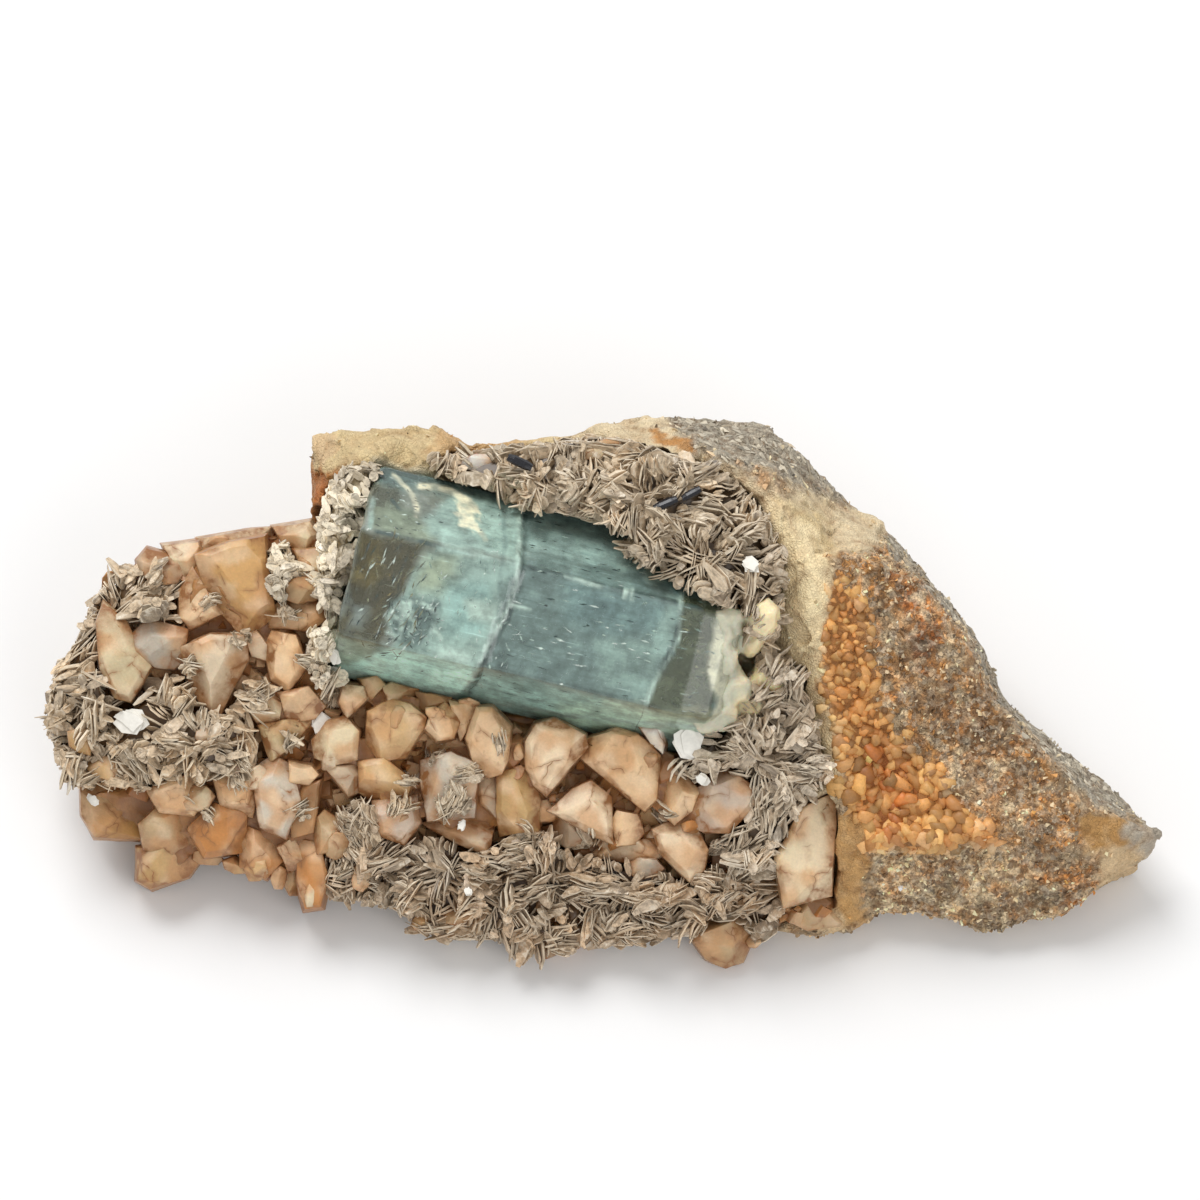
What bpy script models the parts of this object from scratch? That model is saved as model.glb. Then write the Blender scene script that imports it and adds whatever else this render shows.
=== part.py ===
"""Aquamarine crystal on pegmatite matrix, about 122 mm long, in metres with +Z up.

The specimen lies on its flat underside. Its display face leans back, so shapes are laid out in
face millimetres: u to the right, v up the face and w out of the face.
"""

import math
import random

import bmesh
import bpy
from mathutils import Matrix, Vector, noise
from mathutils.bvhtree import BVHTree
from mathutils.geometry import delaunay_2d_cdt, intersect_point_line

# Driving dimensions, in millimetres unless a name says otherwise.
MM = 0.001
FACE_ELEVATION = math.radians(65)
FACE_HEIGHT = 15.5
GAP = 0.33
GROUND_CLEARANCE = 0.5
FLAT_ANGLE = math.radians(0.8)

PRISM_SIDE = 12.0
PRISM_TURN = 7.0
PRISM_DESCENT = 13.5
PRISM_CENTRE = (7.69, 3.7)

CRYSTAL_CHAMFER = 0.7
CRYSTAL_CHAMFER_DEPTH = 0.5
CHAMFERED_WIDTH = 4.0
CRYSTAL_FLARE = 0.6
CRYSTAL_DEPTH = 5.5

# Stretches of the outline as seen from the front. ROCK_RIM gives each its level w and the rock's
# inset from it, where crust and mica hang past the rock.
UPPER_EDGE = (
    (-31.7, 26.4), (-31.9, 29.7), (-25.1, 30.0), (-22.0, 30.4), (-17.6, 29.9), (-14.6, 28.6),
    (-11.0, 28.5), (-6.6, 28.9), (-2.2, 29.5), (0.0, 30.8), (4.4, 31.5), (11.0, 31.2),
    (16.5, 31.0), (19.3, 29.7), (22.0, 27.3),
)
SCHIST_EDGE = (
    (25.3, 24.2), (27.7, 21.8), (30.8, 19.8), (33.6, 16.7), (36.3, 13.4), (39.1, 10.1),
    (42.4, 5.5), (43.5, 2.2), (46.2, -1.1), (49.5, -4.2), (53.9, -7.2), (57.2, -9.9),
)
TIP_EDGE = ((60.0, -13.4), (61.9, -14.3), (61.6, -15.7), (58.9, -17.4), (57.0, -19.0))
LOWER_RIGHT_EDGE = (
    (55.3, -20.4), (53.4, -22.6), (50.6, -23.9), (45.7, -24.4), (41.8, -26.0), (39.1, -24.4),
    (35.2, -23.7), (29.7, -23.3), (29.2, -24.8), (26.4, -25.9), (20.9, -26.2), (18.7, -25.5),
)
LOWER_MIDDLE_EDGE = (
    (16.5, -26.4), (15.6, -28.8), (14.1, -29.4), (11.6, -28.6), (9.9, -26.7), (6.6, -26.2),
    (2.2, -27.0), (-1.1, -26.7), (-4.4, -28.1), (-5.7, -29.2), (-9.4, -27.5), (-11.6, -26.2),
    (-16.0, -26.2), (-19.8, -25.5), (-20.4, -24.2), (-23.1, -22.6), (-26.4, -21.8),
    (-29.7, -21.5),
)
LEFT_LOBE_EDGE = (
    (-33.2, -19.2), (-38.0, -17.0), (-43.0, -16.2), (-48.0, -16.6), (-53.0, -13.2),
    (-55.6, -9.6), (-58.0, -5.0), (-58.8, 0.0), (-57.0, 5.0), (-54.6, 10.0), (-52.0, 14.0),
    (-48.0, 15.8), (-42.0, 16.6), (-37.0, 17.4), (-33.0, 18.6),
)
NOTCH_EDGE = ((-31.9, 20.0), (-30.6, 20.2), (-32.3, 22.0), (-31.7, 24.2))
ROCK_RIM = (
    (-1.0, 0.0, UPPER_EDGE),
    (-4.0, 0.0, SCHIST_EDGE),
    (-0.5, 0.0, TIP_EDGE),
    (-1.5, 0.0, LOWER_RIGHT_EDGE),
    (-1.5, 1.3, LOWER_MIDDLE_EDGE),
    (-3.5, 0.0, LEFT_LOBE_EDGE),
    (-1.0, 0.4, NOTCH_EDGE),
)

# Crests and steps of the rock as lines, and spot heights between them: u, v, w.
ROCK_LINES = (
    ((29.7, 15.4, 10.0), (36.2, 11.7, 9.0), (40.0, 6.6, 8.0), (43.3, -0.6, 6.5),
     (49.3, -6.9, 5.0), (53.0, -11.6, 4.0), (60.3, -14.3, 2.0)),
    ((28.0, -15.8, 5.4), (33.0, -15.2, 5.5), (38.0, -15.2, 5.2), (44.0, -15.0, 4.8),
     (50.0, -15.6, 4.0)),
    ((28.2, -17.2, 2.6), (33.0, -16.7, 2.8), (38.0, -16.6, 2.6), (44.0, -16.5, 2.4),
     (50.0, -17.0, 2.2)),
    ((20.5, 20.0, 8.6), (23.5, 15.0, 9.8), (22.8, 9.0, 9.2), (24.8, 3.0, 8.7),
     (25.8, -4.0, 7.6), (26.6, -11.0, 6.2), (27.0, -18.0, 3.2)),
)
ROCK_SPOTS = (
    (-30.4, 28.4, 2.4), (-24.0, 28.6, 4.2), (-17.0, 28.2, 4.4), (-30.4, 22.6, 1.6),
    (-27.0, 25.0, 4.0), (-20.0, 26.0, 5.0), (-10.0, 27.2, 4.6), (-4.0, 27.6, 5.2),
    (2.0, 28.4, 5.6), (8.0, 27.6, 7.2), (14.0, 26.0, 7.6), (19.0, 24.4, 7.2),
    (30.0, 8.0, 8.0), (33.0, 3.0, 6.3), (30.0, -3.0, 5.6), (37.0, 4.0, 6.7),
    (40.0, -3.0, 4.8), (35.0, -7.0, 4.3), (31.0, -12.0, 4.8), (44.0, -8.0, 4.4),
    (50.0, -12.2, 3.4), (40.0, -12.4, 4.4), (30.5, 13.0, 8.6), (27.0, 9.0, 8.0),
    (32.0, -20.4, 1.8), (38.0, -21.4, 1.6), (45.0, -20.6, 1.4), (51.0, -20.2, 1.8),
    (56.0, -17.4, 2.4), (-20.0, 12.0, -2.0), (0.0, 8.0, -2.0), (10.0, 4.0, -2.0),
    (-15.0, -8.0, -2.0), (0.0, -12.0, -2.0), (12.0, -10.0, -1.5), (20.0, -5.0, 0.0),
    (-15.0, -20.0, -2.5), (5.0, -21.0, -2.5), (16.0, -22.0, -1.5),
    (-55.0, 0.0, -3.5), (-50.0, 8.0, -3.0), (-45.0, -5.0, -2.5), (-40.0, 8.0, -2.0),
    (-35.0, -10.0, -2.0), (-45.0, -14.0, -3.5), (-33.0, 14.0, -1.0), (-27.0, 19.0, 1.0),
)
SPINE = ((-46.0, 0.0), (-12.0, 2.0), (22.0, 2.0), (40.0, -9.0), (52.0, -15.5))
WALL_LEVELS = (0.6, 0.25, 0.0)
RIM_STEP = 3.0
EXPOSED_STEP = 2.5
BURIED_STEP = 6.0
EXPOSED_RIGHT = 17.0
EXPOSED_TOP = 23.0
ROCK_ROUGHNESS = 0.8
WALL_ROUGHNESS = 2.2

# The feldspar crust that the blocky crystals grow from.
CRUST_OUTLINE = (
    (-31.2, 18.5), (-35.2, 18.4), (-38.5, 17.6), (-42.4, 16.9), (-46.2, 16.5), (-50.2, 15.8),
    (-53.0, 14.2), (-54.6, 11.5), (-56.2, 7.0), (-58.2, 3.5), (-59.1, -0.3), (-58.6, -4.5),
    (-57.2, -8.0), (-55.8, -10.5), (-55.0, -13.4), (-50.6, -15.4), (-49.7, -18.6),
    (-46.2, -18.4), (-42.9, -17.0), (-39.6, -17.2), (-36.3, -18.4), (-33.6, -19.4),
    (-31.8, -20.8), (-28.0, -20.2), (-23.0, -21.0), (-20.0, -22.6), (-15.0, -24.4),
    (-9.0, -25.4), (-4.5, -25.6), (2.0, -25.0), (9.0, -24.8), (14.0, -26.2), (17.0, -24.3),
    (21.0, -24.3), (25.8, -22.5), (25.2, -11.0), (20.0, -10.0), (15.0, -6.5), (8.0, -1.6),
    (3.6, -1.0), (-3.1, -0.6), (-16.2, 1.6), (-26.5, 4.6), (-29.8, 5.0), (-28.5, 10.0),
    (-30.5, 12.0), (-30.8, 16.0),
)
CRUST_SPOTS = (
    (-32.0, 17.5, 1.2), (-42.0, 15.5, 1.6), (-50.0, 14.0, 0.4), (-55.0, 9.0, -1.6),
    (-57.5, 0.0, -2.0), (-56.0, -8.0, -2.2), (-52.0, -13.0, -2.6), (-45.0, -15.5, -1.8),
    (-38.0, -16.5, -1.4), (-47.0, 6.0, 2.4), (-50.0, -2.0, 1.8), (-40.0, 8.0, 3.0),
    (-40.0, -4.0, 2.4), (-33.0, 6.0, 3.2), (-32.0, -3.0, 3.0), (-44.0, -9.0, 1.0),
    (-32.0, -14.0, 0.4), (-25.0, 1.0, 3.6), (-25.0, -8.0, 2.4), (-16.0, -3.0, 3.4),
    (-16.0, -12.0, 1.4), (-8.0, -3.5, 3.6), (-5.0, -10.0, 2.6), (2.0, -6.0, 3.4),
    (5.0, -13.0, 1.6), (11.0, -5.0, 3.2), (13.0, -12.0, 2.2), (22.0, -14.0, 1.8),
    (23.0, -20.0, 0.6), (-28.0, -19.5, -1.8), (-15.0, -22.5, -1.6), (0.0, -23.0, -1.6),
    (14.0, -23.0, -1.4), (-7.0, -18.0, 0.0), (8.0, -18.5, 0.2),
)
CRUST_THICKNESS = 3.2
CRUST_STEP = 6.5

# Blocky feldspar crystals: level w of the front face, its rise along u and v, and its outline.
FELDSPARS = (
    (7.0, 0.05, 0.12, ((-25.3, -1.4), (-22.9, -0.2), (-20.9, -0.7), (-19.3, -2.0),
                       (-19.5, -2.9), (-21.6, -6.0), (-24.0, -6.4), (-25.4, -4.6))),
    (7.3, -0.18, 0.10, ((-19.1, -3.1), (-18.3, -1.4), (-17.0, -0.6), (-15.4, -2.0),
                        (-16.2, -4.0), (-17.9, -4.3))),
    (7.4, 0.22, 0.10, ((-14.5, -4.2), (-13.4, -1.0), (-12.0, -1.0), (-10.1, -2.9),
                       (-10.2, -6.3), (-11.0, -7.8), (-12.2, -8.2), (-13.6, -6.9))),
    (5.4, 0.00, 0.05, ((-9.9, -4.6), (-9.0, -4.0), (-8.3, -4.6), (-8.5, -6.3),
                       (-9.7, -8.0), (-10.3, -7.1))),
    (7.7, 0.12, 0.24, ((-8.0, -4.6), (-6.9, -2.9), (-5.0, -2.4), (-1.9, -4.0),
                       (-1.7, -5.0), (-5.9, -10.2), (-7.1, -9.2), (-7.8, -7.5))),
    (5.7, 0.10, 0.16, ((-11.0, -8.1), (-8.0, -7.5), (-6.9, -11.1), (-7.0, -14.1),
                       (-10.7, -14.6), (-11.2, -12.0))),
    (4.2, -0.20, 0.10, ((-7.1, -11.3), (-5.9, -11.1), (-4.9, -12.2), (-5.2, -13.1),
                        (-6.5, -13.3), (-7.2, -12.6))),
    (5.9, -0.12, 0.26, ((-5.2, -12.1), (-2.9, -10.0), (-1.0, -9.2), (0.9, -10.8),
                        (1.2, -15.5), (-0.4, -14.8))),
    (7.0, 0.10, 0.20, ((-1.9, -6.2), (-1.2, -4.5), (1.9, -3.3), (4.0, -3.9),
                       (6.3, -6.2), (6.0, -10.8), (4.9, -11.8), (1.3, -8.9))),
    (4.6, 0.10, 0.30, ((1.3, -13.4), (1.9, -12.3), (4.0, -12.7), (4.6, -14.6),
                       (3.8, -15.7), (1.9, -16.0))),
    (7.4, -0.25, 0.10, ((4.0, -2.2), (6.6, -2.2), (7.1, -4.7), (6.8, -5.6), (5.6, -4.6))),
    (5.8, 0.12, 0.10, ((6.1, -9.6), (7.4, -8.5), (9.3, -8.7), (10.7, -10.0),
                       (9.9, -12.1), (8.2, -13.4), (6.1, -11.5))),
    (6.4, -0.06, 0.16, ((9.9, -12.3), (11.0, -9.8), (13.9, -7.7), (16.6, -9.6),
                        (16.9, -11.3), (14.1, -14.3), (11.6, -14.2), (9.9, -13.4))),
    (5.0, 0.10, 0.22, ((6.1, -14.4), (7.4, -13.8), (10.1, -13.8), (11.6, -16.5),
                       (11.2, -18.6), (9.9, -19.7), (6.8, -16.7))),
    (3.4, 0.00, 0.35, ((-0.2, -15.6), (1.7, -16.1), (5.7, -15.5), (6.8, -16.9),
                       (4.4, -18.0), (0.9, -17.2))),
    (5.0, -0.14, 0.12, ((19.4, -17.4), (21.1, -14.5), (22.4, -12.0), (25.9, -10.4),
                        (25.1, -21.2), (20.4, -22.5))),
    (5.2, 0.00, 0.10, ((6.5, -5.6), (8.0, -6.2), (8.4, -8.3), (6.6, -9.2), (6.3, -7.3))),
    (6.6, 0.08, 0.18, ((-31.3, -4.6), (-29.8, -2.7), (-28.0, -2.1), (-26.7, -3.5),
                       (-26.9, -6.3), (-29.2, -6.9), (-31.1, -6.1))),
    (6.8, -0.20, 0.10, ((-28.5, -0.2), (-28.0, 1.5), (-26.1, 1.3), (-25.6, 0.2),
                        (-27.7, -1.7))),
    (6.0, 0.15, 0.00, ((-26.1, 2.1), (-24.6, 2.4), (-23.7, 1.6), (-25.1, 0.2))),
    (6.4, -0.10, 0.15, ((-23.7, 1.3), (-22.9, 1.7), (-20.4, 1.0), (-21.4, -0.7),
                        (-23.3, 0.0))),
    (5.6, 0.10, 0.10, ((-20.2, 0.8), (-16.6, 0.1), (-17.0, -0.7), (-18.6, -1.6),
                       (-19.6, -0.9))),
    (6.0, -0.20, 0.10, ((-16.4, -0.2), (-13.8, -0.8), (-14.7, -3.3), (-15.3, -4.2),
                        (-15.8, -2.6))),
    (5.4, -0.15, 0.10, ((-30.3, -7.3), (-26.8, -7.2), (-26.4, -9.8), (-27.6, -10.4))),
    (5.8, 0.18, 0.18, ((-26.3, -7.0), (-23.8, -6.6), (-21.0, -9.0), (-21.4, -10.4),
                       (-24.7, -11.0), (-26.2, -10.0))),
    (5.2, -0.10, 0.16, ((-24.7, -11.4), (-20.4, -10.8), (-20.0, -13.4), (-21.6, -15.6),
                        (-24.0, -14.7))),
    (6.0, 0.12, 0.10, ((-19.4, -6.9), (-16.4, -5.9), (-13.6, -7.3), (-14.1, -12.6),
                       (-18.7, -13.0), (-19.3, -9.6))),
    (4.2, 0.05, 0.40, ((-19.3, -13.6), (-16.4, -13.4), (-12.0, -13.9), (-12.4, -16.8),
                       (-15.7, -15.5))),
    (4.4, 0.20, 0.10, ((-13.4, -8.6), (-11.5, -8.6), (-11.4, -12.9), (-13.0, -11.3))),
    (1.9, 0.10, 0.18, ((-33.4, -15.5), (-31.0, -15.8), (-30.2, -19.3), (-30.9, -22.7),
                       (-32.4, -22.9), (-33.2, -20.0))),
    (3.8, 0.20, 0.16, ((-34.0, -9.6), (-30.9, -9.0), (-31.6, -14.5), (-33.8, -15.0))),
    (5.0, 0.10, 0.20, ((-34.0, -6.9), (-31.8, -7.3), (-31.1, -8.2), (-32.0, -9.2),
                       (-34.0, -8.9))),
    (3.6, -0.10, 0.16, ((-31.5, -13.4), (-30.3, -12.4), (-28.8, -13.4), (-29.0, -16.4),
                        (-31.0, -16.8))),
    (1.6, 0.20, 0.20, ((-27.1, -17.6), (-25.8, -17.4), (-24.9, -19.3), (-26.5, -21.2),
                       (-27.2, -19.7))),
    (3.2, 0.20, 0.20, ((-5.0, -13.4), (-4.0, -13.2), (-1.2, -15.2), (-3.5, -16.4),
                       (-5.0, -15.1))),
    (0.2, -0.10, 0.25, ((-5.9, -24.0), (-4.2, -22.9), (-1.4, -24.4), (-0.6, -26.0),
                        (-2.7, -27.1), (-5.6, -28.2))),
    (0.4, 0.05, 0.25, ((11.4, -24.5), (14.8, -24.0), (16.4, -26.3), (15.5, -28.7),
                       (13.9, -29.3), (11.8, -28.4), (10.6, -26.6))),
    (7.0, -0.08, 0.06, ((-44.1, 15.7), (-40.6, 17.1), (-37.2, 17.6), (-36.8, 13.0),
                        (-35.9, 9.4), (-39.0, 7.3), (-41.6, 10.0), (-43.3, 13.0))),
    (6.0, 0.00, 0.20, ((-35.9, 10.0), (-34.2, 11.1), (-30.9, 10.6), (-29.8, 9.2),
                       (-32.1, 7.9), (-36.0, 8.3))),
    (6.2, 0.06, 0.10, ((-51.0, 7.3), (-50.2, 8.1), (-48.1, 8.3), (-45.6, 7.5),
                       (-45.9, 4.5), (-46.9, 3.7), (-48.8, 3.9), (-50.7, 5.6))),
    (5.6, 0.28, 0.10, ((-55.1, 8.5), (-54.4, 10.2), (-52.6, 8.8), (-51.1, 6.4),
                       (-49.6, 3.7), (-51.7, 0.1), (-53.2, 0.5), (-54.7, 3.5))),
    (7.0, -0.10, 0.14, ((-45.7, 5.6), (-42.7, 7.0), (-39.3, 6.9), (-39.0, 4.5),
                        (-40.6, 1.2), (-41.8, -1.1), (-43.5, -0.5), (-45.2, 3.1))),
    (4.4, 0.15, -0.10, ((-50.7, 15.3), (-49.8, 16.3), (-47.9, 15.8), (-46.0, 14.2),
                        (-46.5, 13.2), (-49.0, 12.9), (-50.4, 14.2))),
    (6.0, 0.16, 0.16, ((-46.0, 11.9), (-44.8, 14.0), (-43.1, 11.3), (-41.8, 9.6),
                       (-45.0, 8.1), (-46.0, 9.4))),
    (6.2, 0.10, 0.20, ((-36.6, 5.4), (-35.9, 7.3), (-33.6, 6.9), (-32.4, 3.9),
                       (-34.2, 1.2), (-35.9, 2.4))),
    (5.2, 0.00, 0.20, ((-38.9, 7.1), (-37.8, 7.5), (-36.5, 5.8), (-36.8, 4.5),
                       (-38.2, 4.9))),
    (5.6, 0.10, 0.26, ((-37.3, -2.9), (-34.5, -2.5), (-32.1, -2.4), (-33.8, -4.9),
                       (-36.1, -6.4))),
    (4.8, 0.14, 0.14, ((-38.1, -7.7), (-35.8, -6.4), (-34.1, -7.4), (-33.2, -11.0),
                       (-34.7, -14.9), (-37.2, -13.8))),
    (6.0, -0.10, 0.20, ((-34.9, 0.5), (-32.1, 1.2), (-30.5, -0.7), (-31.5, -1.8),
                        (-34.2, -2.2))),
    (5.7, 0.20, 0.20, ((-38.5, -1.1), (-36.2, 0.3), (-35.1, -0.5), (-35.3, -2.2),
                       (-37.4, -2.6))),
    (-0.4, -0.16, 0.14, ((-57.0, -9.9), (-55.0, -9.3), (-50.6, -9.9), (-49.4, -12.7),
                         (-50.8, -15.2), (-55.6, -14.9), (-56.9, -12.7))),
    (1.0, 0.10, 0.30, ((-50.6, -13.8), (-49.0, -12.3), (-45.9, -13.2), (-45.2, -15.4),
                       (-47.3, -16.8), (-50.1, -16.3))),
    (-0.6, 0.12, 0.24, ((-50.8, -16.7), (-48.4, -16.3), (-44.1, -17.1), (-45.7, -19.3),
                        (-49.5, -20.6), (-50.9, -19.8))),
    (2.2, -0.10, 0.22, ((-35.3, -16.3), (-33.8, -15.3), (-33.2, -16.5), (-32.6, -18.5),
                        (-34.3, -18.5))),
    (2.8, 0.16, 0.22, ((-45.1, -14.3), (-42.4, -11.6), (-39.1, -12.7), (-39.6, -16.5),
                       (-43.5, -17.1))),
    (4.0, 0.20, 0.16, ((-42.4, -8.3), (-39.6, -7.7), (-37.8, -9.9), (-38.5, -12.5),
                       (-41.6, -11.4))),
    (1.6, -0.10, 0.26, ((-39.4, -14.0), (-36.3, -15.1), (-34.9, -17.4), (-36.9, -19.4),
                        (-39.4, -18.2))),
    (3.0, -0.12, 0.26, ((-49.5, -9.9), (-45.1, -8.3), (-42.6, -9.9), (-44.8, -12.5),
                        (-48.4, -12.1))),
    (4.0, 0.10, -0.20, ((-47.7, 16.8), (-44.3, 17.2), (-43.7, 15.9), (-45.6, 13.8),
                        (-46.9, 15.1))),
    (3.0, 0.05, -0.40, ((-43.9, 17.5), (-38.5, 18.4), (-35.9, 18.8), (-36.8, 17.6),
                        (-40.6, 17.2), (-43.3, 16.3))),
    (3.4, 0.05, -0.25, ((-35.5, 18.8), (-32.1, 19.3), (-30.9, 17.2), (-32.6, 16.5),
                        (-34.9, 17.6))),
    (5.2, 0.10, 0.10, ((-33.4, 16.3), (-30.9, 16.5), (-30.9, 13.2), (-32.4, 13.6))),
)

# Muscovite masses: outline, level of the floor under them, spot heights, and their blades.
MICA_MASSES = {
    "muscovite_above_aquamarine": {
        "outline": (
            (-18.5, 26.2), (-14.3, 27.0), (-6.6, 27.7), (0.0, 28.4), (5.5, 27.5), (9.9, 25.9),
            (14.9, 23.7), (18.2, 19.8), (19.6, 15.4), (19.8, 9.9), (18.4, 6.0), (16.3, 5.6),
            (15.4, 8.8), (12.9, 11.0), (11.0, 12.2), (8.7, 12.7), (4.8, 14.3), (2.5, 16.4),
            (4.0, 18.2), (0.2, 20.0), (-2.6, 20.6), (-8.8, 21.4), (-11.0, 23.4), (-17.6, 25.0),
        ),
        "floor": 0.0,
        "spots": (
            (3.4, 16.2, 13.0), (5.4, 15.0, 14.6), (9.0, 13.2, 15.8), (12.5, 11.6, 15.6),
            (15.0, 12.0, 14.0), (17.0, 8.0, 11.6), (17.6, 6.2, 9.8), (0.0, 22.0, 10.4),
            (5.0, 18.0, 13.8), (6.0, 22.0, 12.0), (10.0, 17.0, 14.2),
            (12.0, 19.5, 12.2), (16.0, 17.0, 11.8), (5.0, 26.0, 9.0), (-6.0, 23.5, 9.0),
            (-6.0, 27.0, 7.0), (-12.0, 25.0, 7.8), (-17.0, 25.8, 7.0), (10.0, 25.0, 9.0),
            (18.4, 19.0, 10.2), (19.6, 12.0, 10.2), (-12.0, 27.0, 6.0), (0.0, 28.0, 6.8),
        ),
        "blades": 18,
        "seed": 3,
    },
    "muscovite_beside_rim": {
        "outline": (
            (18.4, 4.9), (20.9, 3.9), (22.0, 1.1), (23.1, -3.3), (24.6, -8.0), (22.6, -10.6),
            (21.0, -13.4), (19.4, -15.8), (18.2, -19.2), (15.2, -18.4), (12.4, -16.2),
            (14.6, -14.8), (17.4, -12.0), (16.6, -8.8), (13.9, -7.0), (11.0, -8.8),
            (8.8, -7.8), (7.6, -4.6), (9.9, -3.1), (13.2, -3.0), (15.6, -0.4), (16.6, 2.4),
        ),
        "floor": -2.0,
        "spots": (
            (18.5, 4.5, 9.4), (21.0, 2.0, 8.8), (22.0, -2.0, 8.2), (23.6, -7.0, 7.2),
            (21.6, -11.0, 6.0), (19.0, -13.0, 5.4), (16.5, -17.0, 4.4), (13.0, -16.5, 4.2),
            (14.0, -5.0, 7.2), (10.0, -5.0, 7.4), (9.0, -3.6, 7.4), (12.0, -8.0, 6.6),
            (17.0, -3.0, 7.6), (17.2, 2.0, 8.8),
        ),
        "blades": 10,
        "seed": 11,
    },
    "muscovite_lower_edge": {
        "outline": (
            (-30.2, -17.2), (-28.6, -13.0), (-27.0, -11.4), (-25.2, -12.4), (-24.2, -15.4),
            (-21.6, -16.4), (-17.6, -15.4), (-13.2, -17.2), (-11.0, -15.4), (-7.0, -15.0),
            (-4.4, -16.6), (0.0, -17.8), (5.5, -18.2), (9.0, -20.2), (12.8, -19.6),
            (18.0, -20.4), (19.8, -23.2), (18.6, -25.3), (16.6, -25.4), (11.0, -25.6),
            (6.6, -26.0), (2.2, -26.8), (-1.0, -26.5), (-5.7, -28.0), (-9.4, -27.2),
            (-12.0, -26.0), (-16.0, -26.0), (-19.6, -25.3), (-20.4, -24.2), (-23.1, -22.5),
            (-26.4, -21.7), (-29.7, -21.3),
        ),
        "floor": -3.6,
        "spots": (
            (-28.0, -13.5, 3.4), (-24.0, -17.0, 3.0), (-18.0, -18.0, 3.2), (-12.0, -18.5, 3.2),
            (-6.0, -17.5, 3.2), (0.0, -19.0, 3.2), (7.0, -20.4, 3.0), (14.0, -21.0, 2.8),
            (18.5, -23.0, 1.8), (-28.0, -20.5, 0.8), (-22.0, -22.5, 0.5), (-16.0, -24.8, 0.3),
            (-9.0, -26.3, 0.0), (-4.0, -26.5, 0.0), (3.0, -25.6, 0.2), (9.0, -25.2, 0.2),
            (16.0, -25.0, 0.2), (-30.0, -17.5, 1.6),
        ),
        "blades": 18,
        "seed": 23,
    },
    "muscovite_left_lobe": {
        "outline": (
            (-55.6, 11.0), (-53.0, 14.2), (-48.4, 15.0), (-45.6, 12.6), (-46.4, 8.8),
            (-50.8, 8.6), (-54.6, 10.6), (-55.6, 6.6), (-54.9, 2.2), (-51.9, -0.8),
            (-49.5, 1.6), (-46.2, 2.4), (-44.6, -0.6), (-40.6, -1.9), (-38.6, 1.6),
            (-36.6, 0.9), (-38.6, -3.3), (-38.0, -6.6), (-38.8, -7.6), (-42.4, -8.3),
            (-46.2, -8.4), (-49.5, -9.9), (-52.8, -9.3), (-56.7, -9.4), (-59.2, -7.7),
            (-60.3, -3.9), (-60.5, 0.0), (-59.4, 3.9), (-57.8, 5.5), (-56.4, 8.3),
        ),
        "floor": -3.4,
        "spots": (
            (-55.6, 10.0, 1.4), (-52.0, 13.0, 2.8), (-48.0, 13.5, 3.8), (-46.4, 10.0, 4.6),
            (-50.0, 10.0, 4.2), (-56.4, 5.0, 2.2), (-57.0, 1.0, 3.0), (-57.5, -3.0, 3.0),
            (-57.0, -6.5, 1.8), (-53.0, -3.0, 4.6), (-48.0, -3.0, 5.4), (-43.0, -3.5, 5.6),
            (-39.6, -3.0, 5.2), (-38.0, 0.5, 5.4), (-40.0, -7.0, 4.8), (-46.0, -7.0, 4.4),
            (-52.0, -7.4, 3.0), (-60.2, -1.0, -0.4), (-59.8, -4.5, -0.8), (-47.5, 1.0, 4.8),
        ),
        "blades": 15,
        "seed": 31,
    },
    "muscovite_behind_left_end": {
        "outline": (
            (-30.4, 19.8), (-29.7, 23.1), (-28.1, 25.1), (-24.9, 25.7), (-24.7, 24.9),
            (-25.2, 19.3), (-26.2, 18.4), (-29.8, 4.6), (-29.6, 3.4), (-28.6, 2.2),
            (-30.5, 1.6), (-32.0, 4.0), (-31.5, 6.8), (-29.4, 8.6), (-30.4, 11.2),
            (-34.4, 11.6), (-36.4, 11.2), (-36.6, 15.8), (-34.8, 17.2), (-33.8, 14.8),
            (-32.2, 13.2), (-30.6, 13.4), (-30.7, 17.2),
        ),
        "floor": -2.0,
        "spots": (
            (-29.4, 22.0, 7.4), (-26.0, 24.6, 7.6), (-29.5, 15.0, 8.4), (-28.5, 12.0, 9.0),
            (-30.4, 8.0, 8.0), (-30.8, 4.0, 7.2), (-29.4, 2.6, 6.8), (-34.5, 14.0, 6.0),
            (-32.4, 12.2, 6.4), (-36.0, 12.6, 6.2), (-27.0, 19.5, 8.4),
        ),
        "blades": 6,
        "seed": 41,
    },
}
MICA_STEP = 5.0
BLADE_RADIUS = (1.7, 2.5)
BLADE_THICKNESS = (0.9, 1.3)
BLADE_SPACING = 2.6
BLADE_RISE = 0.35

# Rings of the aquamarine along its length: distance, share of the full width.
PRISM_RINGS = (
    (-29.7, 0.955), (-29.1, 1.0), (-14.2, 1.0), (-13.4, 0.965), (-2.0, 0.975),
    (8.8, 0.965), (11.8, 0.93), (13.4, 0.8),
)


def world_point(u, v, w):
    """A point of the leaning face, in metres."""
    across, up = math.cos(FACE_ELEVATION), math.sin(FACE_ELEVATION)
    return Vector((u, v * up - w * across, v * across + w * up + FACE_HEIGHT)) * MM


def clear_scene():
    for item in list(bpy.data.objects):
        bpy.data.objects.remove(item, do_unlink=True)


def material(name, colour, roughness, transmission=0.0):
    made = bpy.data.materials.new(name)
    made.use_nodes = True
    shader = made.node_tree.nodes["Principled BSDF"]
    shader.inputs["Base Color"].default_value = (*colour, 1.0)
    shader.inputs["Roughness"].default_value = roughness
    shader.inputs["Transmission Weight"].default_value = transmission
    return made


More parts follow.
